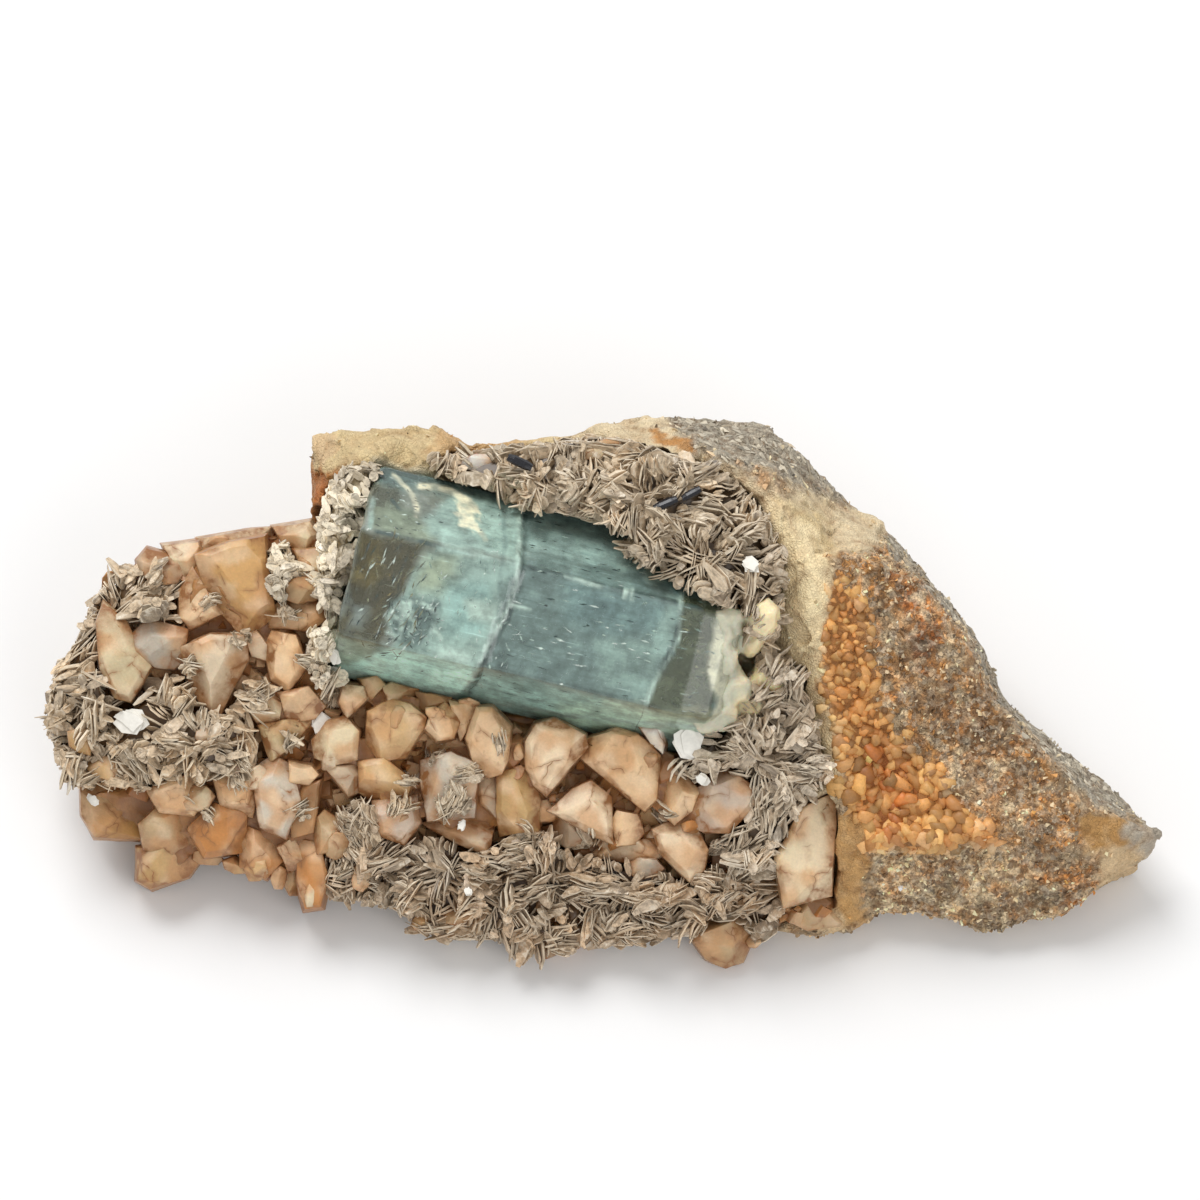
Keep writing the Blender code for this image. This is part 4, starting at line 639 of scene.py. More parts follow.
def inside_by(points, outline):
    """How far each point lies inside the outline; negative outside."""
    x, y = points[:, 0], points[:, 1]
    within = np.zeros(len(points), bool)
    nearest = np.full(len(points), FAR)
    for (x0, y0), (x1, y1) in zip(outline, outline[1:] + outline[:1]):
        at = (x1 - x0) * (y - y0) / ((y1 - y0) or 1e-9) + x0
        within ^= ((y0 > y) != (y1 > y)) & (x < at)
        run, climb = x1 - x0, y1 - y0
        share = held(((x - x0) * run + (y - y0) * climb) / (run * run + climb * climb))
        nearest = np.minimum(nearest, np.hypot(x - x0 - share * run, y - y0 - share * climb))
    return np.where(within, nearest, -nearest)


def depth_in(points, pixels):
    """How far each point lies inside an outline that is drawn on the photograph."""
    return inside_by(points, [on_face(pixel) for pixel in pixels])


def gap_to(points, line):
    """How far each point lies from a line of straight runs."""
    nearest = np.full(len(points), FAR)
    for (x0, y0), (x1, y1) in zip(line, line[1:]):
        run, climb = x1 - x0, y1 - y0
        share = (points[:, 0] - x0) * run + (points[:, 1] - y0) * climb
        share = held(share / (run * run + climb * climb))
        gap = np.hypot(points[:, 0] - x0 - share * run, points[:, 1] - y0 - share * climb)
        nearest = np.minimum(nearest, gap)
    return nearest


def spread_out(spots, spacing, count):
    """The first places that keep a spacing from each other, as a row of indices."""
    chosen, taken = [], {}
    for index, spot in enumerate(spots.tolist()):
        cell = tuple(int(value // spacing) for value in spot)
        near = [other for a in (-1, 0, 1) for b in (-1, 0, 1) for c in (-1, 0, 1)
                for other in taken.get((cell[0] + a, cell[1] + b, cell[2] + c), ())]
        if all(math.dist(spot, other) >= spacing for other in near):
            chosen.append(index)
            taken.setdefault(cell, []).append(spot)
            if len(chosen) == count:
                break
    return np.array(chosen)


def line_at(line, p):
    """Where a line across the prism lies at a height p."""
    return np.interp(p, [row[0] for row in line], [row[1] for row in line])


# Pieces and their paint.


def show(thing):
    """Puts an object into the scene."""
    bpy.context.scene.collection.objects.link(thing)


def piece(name, points, faces, paint, domain, smooth, finish, slot):
    """A piece of the specimen, from face millimetres. Its paint is a tone and an extra mask."""
    mesh = bpy.data.meshes.new(name)
    places = to_world(points)
    places[:, 2] = np.maximum(places[:, 2], 0.0)
    mesh.from_pydata(places.tolist(), [], np.asarray(faces).tolist())
    layer = mesh.attributes.new("tone", "FLOAT_COLOR", domain)
    layer.data.foreach_set("color", np.asarray(paint, np.float32).ravel())
    mesh.polygons.foreach_set("use_smooth", [smooth] * len(mesh.polygons))
    mesh.materials.append(finish)
    made = bpy.data.objects.new(name, mesh)
    show(made)
    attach(made, "root")
    return made


def remeshed(mesh, voxel):
    """A closed mesh of the specimen as an even one, in face millimetres."""
    copy = bpy.data.objects.new("form", mesh.copy())
    show(copy)
    change = copy.modifiers.new("even", "REMESH")
    change.mode = "VOXEL"
    change.voxel_size = voxel * MM
    graph = bpy.context.evaluated_depsgraph_get()
    even = bpy.data.meshes.new_from_object(copy.evaluated_get(graph))
    bpy.data.objects.remove(copy, do_unlink=True)
    shape = bmesh.new()
    shape.from_mesh(even)
    bpy.data.meshes.remove(even)
    for vert in shape.verts:
        vert.co = Vector(to_face(vert.co))
    shape.normal_update()
    return shape


def form_of(name, voxel):
    """A CAD node's form as an even mesh."""
    return remeshed(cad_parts[name].data, voxel)


def arrays(shape):
    """Points, directions and triangles of an open mesh."""
    bmesh.ops.triangulate(shape, faces=shape.faces)
    shape.normal_update()
    shape.verts.index_update()
    points = np.array([vert.co for vert in shape.verts])
    directions = np.array([vert.normal for vert in shape.verts])
    faces = np.array([[vert.index for vert in face.verts] for face in shape.faces])
    shape.free()
    return points, directions, faces


def spots_on(points, faces, count, seed):
    """Seeded places spread evenly over triangles: places and directions."""
    source = np.random.default_rng(seed)
    first, second, third = (points[faces[:, k]] for k in range(3))
    across = np.cross(second - first, third - first)
    area = np.linalg.norm(across, axis=1)
    chosen = source.choice(len(faces), count, p=area / area.sum())
    a, b = source.random(count), source.random(count)
    over = a + b > 1
    a[over], b[over] = 1 - a[over], 1 - b[over]
    spots = first[chosen] + a[:, None] * (second - first)[chosen]
    spots += b[:, None] * (third - first)[chosen]
    return spots, across[chosen] / np.maximum(area[chosen], 1e-12)[:, None]


def in_the_open(spots, directions, tree, reach):
    """True where nothing of the tree lies within reach in front of a place."""
    free = []
    for spot, direction in zip(spots.tolist(), directions.tolist()):
        ahead = Vector(direction)
        hit = tree.ray_cast(Vector(spot) + ahead * 0.12, ahead, reach)[0]
        free.append(hit is None)
    return np.array(free)


def above_ground(spots, height):
    """True for places more than a height above the floor, in millimetres."""
    return to_world(spots)[:, 2] > height * MM


def clear_of_floor(spots, frames):
    """True where a shape of unit size stays above the floor."""
    down = np.abs(frames @ (FACE_AXES @ (0.0, 0.0, 1.0))).sum(axis=1)
    return to_world(spots)[:, 2] / MM > down + 0.1


def kept(keep, *rows):
    """The chosen rows of several arrays."""
    return tuple(row[keep] for row in rows)


def wanted_spots(name, wanted, seed, spacing, most):
    """Seeded places on a CAD node that are wanted, lie open and keep a spacing."""
    spots, directions = spots_on(*NODE_SHAPES[name], 9000, seed)
    spots, directions = kept(wanted(spots, directions), spots, directions)
    keep = in_the_open(spots, directions, all_but(name), reach=1.2)
    spots, directions = kept(keep, spots, directions)
    return kept(spread_out(spots, spacing, most), spots, directions)


def scatter(templates, spots, frames, kinds, tones):
    """Many copies of the templates: their points, faces and a colour for each face."""
    points, faces, paint = [], [], []
    start = 0
    for kind, (corners, sides, masks) in enumerate(templates):
        chosen = kinds == kind
        count = int(chosen.sum())
        if not count:
            continue
        placed = np.einsum("ij,njk->nik", corners, frames[chosen]) + spots[chosen][:, None, :]
        step = start + np.arange(count) * len(corners)
        faces.append((sides[None] + step[:, None, None]).reshape(-1, sides.shape[1]))
        colours = np.repeat(tones[chosen], len(sides), axis=0)
        mask = np.tile(masks, count)[:, None]
        paint.append(np.hstack((colours, mask)))
        points.append(placed.reshape(-1, 3))
        start += count * len(corners)
    return np.vstack(points), np.vstack(faces), np.vstack(paint)


def strewn(name, templates, spots, frames, tones, source, finish, slot, mask=0.0):
    """A piece of many small copies, without those that would reach into the floor."""
    keep = clear_of_floor(spots, frames)
    kinds = source.integers(0, len(templates), len(spots))
    points, faces, paint = scatter(templates, *kept(keep, spots, frames, kinds, tones))
    paint[:, 3] = mask
    return piece(name, points, faces, paint, "FACE", False, finish, slot)


def random_frames(count, source):
    """Random turns as three axes each."""
    first = unit(source.normal(size=(count, 3)))
    second = unit(np.cross(first, source.normal(size=(count, 3))))
    return np.stack((first, second, np.cross(first, second)), axis=1)


def wrap(shape):
    """Wraps loose points in their convex hull."""
    bmesh.ops.convex_hull(shape, input=shape.verts)
    loose = [vert for vert in shape.verts if not vert.link_faces]
    bmesh.ops.delete(shape, geom=loose, context="VERTS")
    bmesh.ops.recalc_face_normals(shape, faces=shape.faces)


def template(shape):
    """A shape to copy: its points, its triangles and an empty mask for each."""
    points, _, faces = arrays(shape)
    return points, faces, np.zeros(len(faces))


def chip(seed, count=9, roundness=0.85):
    """A small grain of about unit size; more corners make it rounder."""
    source = random.Random(seed)
    shape = bmesh.new()
    for _ in range(count):
        spot = Vector([source.gauss(0, 1) for _ in range(3)]).normalized()
        shape.verts.new(spot * source.uniform(roundness, 1.1))
    wrap(shape)
    return template(shape)


# The rock.


def paint_rock(points, directions):
    """Tone and surface kinds of the rock at each point."""
    wander = 1.5 * ripple(points, 2.6) + 0.9 * ripple(points, 1.0, 5.0)
    tone = rgb("stone")
    kinds = {kind: np.zeros(len(points)) for kind in ("grains", "quartz", "schist", "sugar")}
    kinds["grains"] += 0.6
    for name, kind, softness, outline in ROCK_ZONES:
        share = held(0.5 + (depth_in(points, outline) + wander) / softness)
        tone = towards(tone, name, share)
        for other in kinds:
            kinds[other] *= 1.0 - share
        kinds[kind] += share
    for name, size, shift, most in (("orange", 1.7, 11.0, 0.6), ("grey_lavender", 1.5, 14.0, 0.6),
                                    ("brown", 1.1, 17.0, 0.7), ("cream", 1.3, 20.0, 0.6)):
        mottle = held(3.2 * ripple(points, size, shift) - 0.3, 0.0, most)
        mottle *= held(kinds["grains"] + 0.14 * kinds["quartz"])
        tone = towards(tone, name, mottle)
    for size, shift in ((0.9, 23.0), (3.4, 26.0)):
        tone *= (1.0 + 0.8 * kinds["grains"] * ripple(points, size, shift))[:, None]
    # Painted shade: the hollows are painted dark.
    for outline in HOLLOWS:
        share = held(0.8 + (depth_in(points, outline) + 0.3 * wander) / 0.5)
        tone = towards(tone, "hollow_shade", share)
    behind = held(0.25 - directions[:, 2] * 1.6)
    hidden = towards(rgb("stone"), "tan", held(0.5 + 1.6 * ripple(points, 9.0, 3.0)))
    hidden = towards(hidden, "quartz_white", held(ripple(points, 6.0, 8.0) * 2.4 - 0.3))
    tone += (hidden - tone) * behind[:, None]
    return tone, kinds


def rock_relief(points, kinds):
    """How far the rock's surface stands out at each point, in millimetres."""
    coarse = 0.30 * ripple(points, 3.2, 1.0) + 0.35 * broken(points, 3.4)
    near, margin = cells(points, 1.25)
    grains = 0.40 * (0.45 - near) + 0.15 * held(margin, 0.0, 0.3)
    near, margin = cells(points, 1.7, 4.0)
    sugar = 0.55 * (0.45 - near) + 0.3 * held(margin, 0.0, 0.3)
    stretched = points - np.outer(points @ SCHIST_RUN, SCHIST_RUN) * 0.72
    schist = 0.30 * ripple(stretched, 0.8) + 0.22 * ripple(stretched, 2.2, 6.0)
    quartz = 0.12 * ripple(points, 2.4, 9.0) + 0.42 * broken(points, 3.0, 3.0)
    fine = 0.08 * ripple(points, 0.7, 2.0)
    sunk = np.zeros(len(points))
    for outline in HOLLOWS:
        sunk = np.maximum(sunk, held(0.5 + depth_in(points, outline) / 0.6))
    return (coarse + fine + grains * kinds["grains"] + sugar * kinds["sugar"]
            + schist * kinds["schist"] + quartz * kinds["quartz"] - 1.5 * sunk)


def rock_form():
    """The rock's remeshed surface, finer where it shows on the display side."""
    shape = form_of("host_rock", ROCK_VOXEL)
    others = all_but("host_rock")
    for limit in (0.0, 0.35):
        edges = set()
        for face in shape.faces:
            middle = face.calc_center_median()
            shown = middle.x > 15.0 or middle.y > 20.0
            if shown and face.normal.z > limit:
                ahead = others.ray_cast(middle + face.normal * 0.1, face.normal, 2.5)[0]
                if ahead is None:
                    edges.update(face.edges)
        bmesh.ops.subdivide_edges(shape, edges=list(edges), cuts=1, use_grid_fill=True)
        shape.normal_update()
    return arrays(shape)


def make_rock(finish):
    """The rock itself, with its relief and its paint."""
    points, directions, faces = rock_form()
    tone, kinds = paint_rock(points, directions)
    tone *= (1.0 - 0.3 * kinds["sugar"])[:, None]
    resting = held(to_world(points)[:, 2] / MM / 1.2)
    relief = rock_relief(points, kinds) * resting
    near_prism = prism_distance(points)
    relief = np.where(near_prism < 1.2, np.minimum(relief, 0.0), relief)
    # The rock next to the prism is toned pale: the pocket's own pale lining, and painted light
    # that brightens what shows through the crystal.
    tone = towards(tone, "pocket", held(1.6 - near_prism / 0.8))
    moved = points + directions * relief[:, None]
    # The mask rises where the surface lies lower: iron stain in the crevices, and painted shade
    # there too.
    paint = paint_of(points, tone, held(0.5 - relief))
    made = piece("rock", moved, faces, paint, "POINT", True, finish, "host_rock")
    rough = made.data.attributes.new("grainy", "FLOAT", "POINT")
    rough.data.foreach_set("value", kinds["grains"] + 0.8 * kinds["schist"])
    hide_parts("host_rock")
    return moved, directions, faces


def open_rock_spots(form, count, seed):
    """Seeded places on the rock that nothing covers: places and directions."""
    points, _, faces = form
    spots, directions = spots_on(points, faces, count, seed)
    keep = above_ground(spots, height=0.9) & (prism_distance(spots) > 1.0)
    source = np.random.default_rng(seed)
    keep &= (directions[:, 2] > -0.1) | (source.random(count) < 0.3)
    spots, directions = kept(keep, spots, directions)
    keep = in_the_open(spots, directions, all_but("host_rock"), reach=1.6)
    return kept(keep, spots, directions)


def make_sugar_crystals(form, finish):
    """Interlocking sugary crystals on the orange part of the right face."""
    points, directions, faces = form
    _, kinds = paint_rock(points, directions)
    sugary = faces[kinds["sugar"][faces].mean(axis=1) > 0.35]
    spots, directions = open_rock_spots((points, directions, sugary), count=9000, seed=3)
    spots, directions = kept(spread_out(spots, spacing=0.68, count=2400), spots, directions)
    tones, _ = paint_rock(spots, directions)
    source = np.random.default_rng(5)
    count = len(spots)
    size = 0.46 + 0.5 * source.random(count) ** 1.6 + held(-0.03 * spots[:, 1], 0.0, 0.35)
    stretch = 1.0 + source.uniform(-0.25, 0.4, (count, 3))
    frames = random_frames(count, source) * (size[:, None] * stretch)[:, :, None]
    tones = towards(tones, "sugar", held(source.normal(0.3, 0.35, count), 0.0, 0.9))
    tones = held(tones * source.normal(0.97, 0.2, count)[:, None], 0.02, 0.9)
    templates = [chip(seed, count=13, roundness=0.9) for seed in range(8)]
    spots = spots - directions * (size * 0.42)[:, None]
    drawn = scatter(templates, spots, frames, source.integers(0, 8, count), tones)
    return piece("sugary_crystals", *drawn, "FACE", True, finish, "host_rock")


def make_schist_flakes(form, finish):
    """Thin flakes that lie along the grain of the schist."""
    spots, directions = open_rock_spots(form, count=30000, seed=4)
    tone, kinds = paint_rock(spots, directions)
    source = np.random.default_rng(6)
    keep = source.random(len(spots)) < kinds["schist"] * 0.5
    spots, directions, tone = kept(keep, spots, directions, tone)
    count = len(spots)
    along = SCHIST_RUN + source.normal(scale=0.25, size=(count, 3))
    along = unit(along - directions * np.sum(along * directions, axis=1)[:, None])
    tilted = unit(directions + source.normal(scale=0.35, size=(count, 3)))
    flakes = np.stack((along * 0.6, np.cross(tilted, along) * 0.28, tilted * 0.12), axis=1)
    flakes *= (0.6 + 0.8 * source.random(count))[:, None, None]
    # The flakes are mostly painted brighter than the schist: tones that differ at random, and
    # painted glints.
    bright = held(source.normal(1.18, 0.3, count), 0.4, 1.9)
    tones = held(tone * bright[:, None], 0.0, 0.9)
    templates = [chip(seed) for seed in range(6)]
    return strewn("schist_flakes", templates, spots, flakes, tones, source, finish, "host_rock")


def make_rock_grit(form, finish):
    """Fine angular grit of mixed tones over the granular rock."""
    spots, directions = open_rock_spots(form, count=44000, seed=9)
    tone, kinds = paint_rock(spots, directions)
    source = np.random.default_rng(10)
    wanted = kinds["grains"] * 0.95 + kinds["quartz"] * 0.03 + kinds["schist"] * 0.2
    keep = np.flatnonzero(source.random(len(spots)) < wanted)[:19000]
    spots, directions, tone = kept(keep, spots, directions, tone)
    count = len(spots)
    size = 0.15 + 0.26 * source.random(count) ** 1.6
    frames = random_frames(count, source) * size[:, None, None]
    # Some chips are painted pale and some dark: grains of other tones, and also painted glints and
    # the painted shade of small pits.
    picked = source.random(count)
    other = np.where(picked[:, None] < 0.2, rgb("cream"), rgb("hollow_shade"))
    share = np.where(picked < 0.2, 0.75, np.where(picked > 0.76, 0.45, 0.0))[:, None]
    tones = tone + (other - tone) * share
    tones = held(tones * source.normal(1.0, 0.26, count)[:, None], 0.01, 0.9)
    templates = [chip(seed + 20, count=6) for seed in range(8)]
    spots = spots + directions * (size * 0.2)[:, None]
    return strewn("rock_grit", templates, spots, frames, tones, source, finish, "host_rock")


# The feldspar.


def feldspar_block(row, seed, root=-5.5):
    """One crystal: a hull with knocked-off corners and softly rounded edges."""
    tone, level, rise_u, rise_v, outline = row
    source = random.Random(seed)
    centre = Vector((sum(p[0] for p in outline), sum(p[1] for p in outline))) / len(outline)

    def front(u, v):
        return level + rise_u * (u - centre.x) + rise_v * (v - centre.y)

    shape = bmesh.new()
    wide = max(p[0] for p in outline) - min(p[0] for p in outline)
    rings = ((-0.35, 0.0), (0.3, -0.6)) if wide > 4.0 else ((-0.15, 0.0), (0.15, -0.3))
    for widening, depth in (*rings, (-0.12 * root, root)):
        for u, v in moved_outline(outline, widening):
            shape.verts.new((u, v, front(u, v) + depth))
    hull_only(shape)
    floor = Vector(to_face((0.0, 0.0, FLOOR_GAP * MM)))
    cut_off(shape, floor, FACE_AXES @ (0.0, 0.0, 1.0), clear_inner=True)
    for _ in range(4):
        turn = source.uniform(0, math.tau)
        lean = math.radians(source.uniform(18, 58))
        aim = Vector((math.cos(turn) * math.sin(lean), math.sin(turn) * math.sin(lean),
                      math.cos(lean)))
        reach = max(vert.co.dot(aim) for vert in shape.verts)
        cut = reach - source.uniform(0.2, 0.14 * wide + 0.3)
        cut_off(shape, aim * cut, aim, clear_outer=True)
    bmesh.ops.remove_doubles(shape, verts=shape.verts, dist=0.22)
    hull_only(shape)
    bmesh.ops.dissolve_limit(shape, angle_limit=math.radians(4), verts=shape.verts,
                             edges=shape.edges)
    bmesh.ops.bevel(shape, geom=shape.edges[:], offset=0.10, segments=2, profile=0.6,
                    affect="EDGES", clamp_overlap=True)
    bmesh.ops.triangulate(shape, faces=shape.faces)
    for _ in range(4):
        long = []
        for edge in shape.edges:
            middle = (edge.verts[0].co + edge.verts[1].co) / 2
            shallow = front(middle.x, middle.y) - middle.z < 3.2
            if edge.calc_length() > (0.85 if shallow else 2.5):
                long.append(edge)
        if long:
            bmesh.ops.subdivide_edges(shape, edges=long, cuts=1)
            bmesh.ops.triangulate(shape, faces=shape.faces)
    points, directions, faces = arrays(shape)
    shift = seed * 3.7
    swell = 0.07 * ripple(points, 2.6, shift) + 0.02 * ripple(points, 0.8, shift)
    swell += 0.11 * broken(points, 2.4, shift + 3.0)
    fronts = np.array([front(u, v) for u, v, _ in points])
    depth = fronts - points[:, 2]
    points = points + directions * swell[:, None]
    rim = 1.0 - held(inside_by(points[:, :2], list(outline)) / 1.2)
    # Iron stain and painted shade: darker brown deep down the sides, on faces turned away from the
    # front, and in patches at the rim.
    stain_and_shade = held((depth - 0.3) / 1.4)
    stain_and_shade += 0.5 * held((0.86 - directions[:, 2]) / 0.4)
    stain_and_shade += 0.6 * rim * held(0.25 + 2.4 * ripple(points, 1.8, shift + 5.0))
    cloud = held(0.1 + 2.4 * ripple(points, 2.6, shift), 0.0, 0.7)
    pale = held(1.6 * ripple(points, 2.4, shift + 9.0) - 0.1, 0.0, 0.4)
    colour = towards(towards(rgb(tone), "warm_cloud", cloud), "pale_peach", pale)
    return points, faces, paint_of(points, colour, held(stain_and_shade))


def small_crystal(row, seed):
    """A small crystal as an outline on what carries it."""
    tone, x, y, length, width, turn, height = row
    source = random.Random(seed)
    u, v = on_face((x, y))
    base, _ = surface_at(u, v)
    sway = math.radians(turn)
    outline = []
    for corner in range(7):
        angle = math.tau * (corner + source.uniform(-0.25, 0.25)) / 7
        reach = source.uniform(0.88, 1.08) * PHOTO_MM_PER_PIXEL / 2
        a, b = length * reach * math.cos(angle), width * reach * math.sin(angle)
        outline.append((u + a * math.cos(sway) - b * math.sin(sway),
                        v + a * math.sin(sway) + b * math.cos(sway)))
    rises = (source.uniform(-0.2, 0.2), source.uniform(0.0, 0.25))
    return tone, base.z + height, *rises, tuple(outline)


def moved_outline(points, distance):
    """The outline moved outwards by a distance; a negative distance moves it inwards."""
    turn = sum(a[0] * b[1] - b[0] * a[1] for a, b in zip(points, points[1:] + points[:1]))
    side = 1.0 if turn > 0 else -1.0
    moved = []
    for index, point in enumerate(points):
        here = Vector(point)
        before = (here - Vector(points[index - 1])).normalized()
        after = (Vector(points[(index + 1) % len(points)]) - here).normalized()
        first = Vector((before.y, -before.x)) * side
        second = Vector((after.y, -after.x)) * side
        share = max(1.0 + first.dot(second), 0.6)
        moved.append(tuple(here + (first + second) / share * distance))
    return moved


def hull_only(shape):
    """Replaces the mesh with the convex hull of its points."""
    corners = [vert.co.copy() for vert in shape.verts]
    shape.clear()
    for corner in corners:
        shape.verts.new(corner)
    wrap(shape)
    bmesh.ops.dissolve_limit(shape, angle_limit=math.radians(1), verts=shape.verts,
                             edges=shape.edges)


def cut_off(shape, place, way, **side):
    """Cuts the hull with a plane and closes it again; side names what is cleared."""
    bmesh.ops.bisect_plane(shape, geom=shape.verts[:] + shape.edges[:] + shape.faces[:],
                           plane_co=place, plane_no=way, **side)
    hull_only(shape)


def tube_faces(rings, count):
    """Triangles of a tube of rings; its two end points follow the rings."""
    faces = []
    last = (rings - 1) * count
    for side in range(count):
        after = (side + 1) % count
        for ring in range(rings - 1):
            a, b = ring * count + side, ring * count + after
            faces += [(a, b, b + count), (a, b + count, a + count)]
        faces += [(rings * count, after, side), (rings * count + 1, last + side, last + after)]
    return np.array(faces)


def joined(parts):
    """Several shapes as one: points, faces and paint."""
    points, faces, paint = [], [], []
    start = 0
    for spots, sides, colours in parts:
        points.append(spots)
        faces.append(np.asarray(sides) + start)
        paint.append(colours)
        start += len(spots)
    return np.vstack(points), np.vstack(faces), np.vstack(paint)


def make_feldspar(finish):
    """The feldspar: its crystals with the crust between them, and the small crystals."""
    blocks = [feldspar_block(row, index) for index, row in enumerate(FELDSPARS)]
    points, directions, faces = arrays(form_of("feldspar_crystals", FORM_VOXEL))
    relief = -1.0 + 0.25 * ripple(points, 1.6) + 0.3 * broken(points, 1.8)
    points = points + directions * relief[:, None]
    # The crust between the crystals is painted dark brown with a nearly full stain mask: iron
    # stain, and painted shade in the gaps.
    share = held(0.5 + 1.5 * ripple(points, 3.0, 2.0))
    paint = paint_of(points, towards(rgb("brown"), "orange_brown", share), 0.9)
    blocks.append((points, faces, paint))
    made = piece("feldspar", *joined(blocks), "POINT", True, finish, "feldspar")
    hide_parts("feldspar_crystals")
    small = [feldspar_block(small_crystal(row, index), index, root=-2.2)
             for index, row in enumerate(SMALL_CRYSTALS, 200)]
    piece("small_crystals", *joined(small), "POINT", True, finish, "feldspar")


def blocklet(seed):
    """A small skewed block with one corner knocked off, of about unit size."""
    source = random.Random(seed)
    shape = bmesh.new()
    skew = source.uniform(-0.3, 0.3)
    for corner in range(8):
        x, y, z = ((corner >> axis & 1) * 2 - 1 for axis in range(3))
        spot = Vector((x + skew * y, y * 0.72, z * 0.85)) * source.uniform(0.72, 1.0)
        if corner == 7:
            shape.verts.new(spot * Vector((0.3, 1.0, 1.0)))
            spot = spot * Vector((1.0, 0.4, 0.7))
        shape.verts.new(spot)
    hull_only(shape)
    return template(shape)


def in_the_gaps(spots, directions):
    """True in front of the specimen between the feldspar crystals."""
    low = (directions[:, 2] > 0.25) & above_ground(spots, height=1.0)
    for _, level, rise_u, rise_v, outline in FELDSPARS:
        u, v = (sum(corner[axis] for corner in outline) / len(outline) for axis in (0, 1))
        front = level + rise_u * (spots[:, 0] - u) + rise_v * (spots[:, 1] - v)
        over = (inside_by(spots[:, :2], list(outline)) > -0.1) & (spots[:, 2] > front - 1.0)
        low &= ~over
    return low


def make_feldspar_chips(finish):
    """Small stained blocks that fill the gaps between the crystals."""
    spots, directions = wanted_spots("feldspar_crystals", in_the_gaps, 17, spacing=0.75, most=3000)
    source = np.random.default_rng(23)
    count = len(spots)
    size = 0.5 + 1.0 * source.random(count) ** 1.6
    stretch = 1.0 + source.uniform(-0.25, 0.35, (count, 3))
    frames = random_frames(count, source) * (size[:, None] * stretch)[:, :, None]
    names = ("peach", "orange_brown", "brown", "orange", "rust", "tan", "honey", "peach")
    picked = source.integers(0, len(names), count)
    tones = np.array([rgb(name) for name in names])[picked]
    tones = tones * source.normal(0.85, 0.1, count)[:, None]
    templates = [blocklet(seed + 40) for seed in range(10)]
    spots = spots - directions * (size * 0.45)[:, None]
    # Their mask gives them part of the iron stain and painted shade of the gaps.
    return strewn("feldspar_chips", templates, spots, frames, held(tones, 0.01, 0.9), source,
                  finish, "feldspar", mask=0.55)


# The mica.


def mica_book(seed):
    """A few stacked plates: x runs along them, y is their width, z goes through them."""
    source = random.Random(seed)
    plates = source.choice((1, 2, 2, 3, 3, 4))
    bend = source.uniform(-0.6, 0.6)
    splay = source.uniform(-0.2, 0.6)
    points, faces, edges = [], [], []
    for plate in range(plates):
        level = ((plate + 0.5) / plates * 2 - 1) * min(1.0, plates / 3)
        level += source.uniform(-0.15, 0.15)
        half = source.uniform(0.08, 0.24)
        shift = (source.uniform(-0.4, 0.4), source.uniform(-0.4, 0.15))
        length = source.uniform(0.4, 1.0)
        curl = bend + source.uniform(-0.45, 0.45)
        swing = source.uniform(-0.3, 0.3)
        start = len(points)
        for x, width, thick in ((-1.0, 0.3, 0.4), (-0.45, 0.9, 1.0), (0.45, 0.95, 1.0),
                                (1.0, 0.35, 0.4)):
            x *= length
            z = level * (1.0 + splay * x) + curl * (x * x - 0.3) + swing * x
            for side in (-1, 1):
                y = side * width * source.uniform(0.55, 1.0)
                for face in (-half, half):
                    points.append((x + shift[0], y + shift[1], z + face * thick))
        shade = source.uniform(0.0, 0.3)
        bright = source.uniform(0.2, 0.95)
        for station in range(3):
            here, then = start + 4 * station, start + 4 * station + 4
            faces += [(here + 1, then + 1, then + 3, here + 3), (here, here + 2, then + 2, then),
                      (here, then, then + 1, here + 1), (here + 2, here + 3, then + 3, then + 2)]
            edges += [shade, shade, bright, bright]
        last = start + 12
        faces += [(start, start + 1, start + 3, start + 2), (last, last + 2, last + 3, last + 1)]
        edges += [bright, bright]
    return np.array(points), np.array(faces), np.array(edges)


def turned_about(first, second, angle):
    """Two axes turned together by an angle, from the first towards the second."""
    return (np.cos(angle) * first + np.sin(angle) * second,
            np.cos(angle) * second - np.sin(angle) * first)


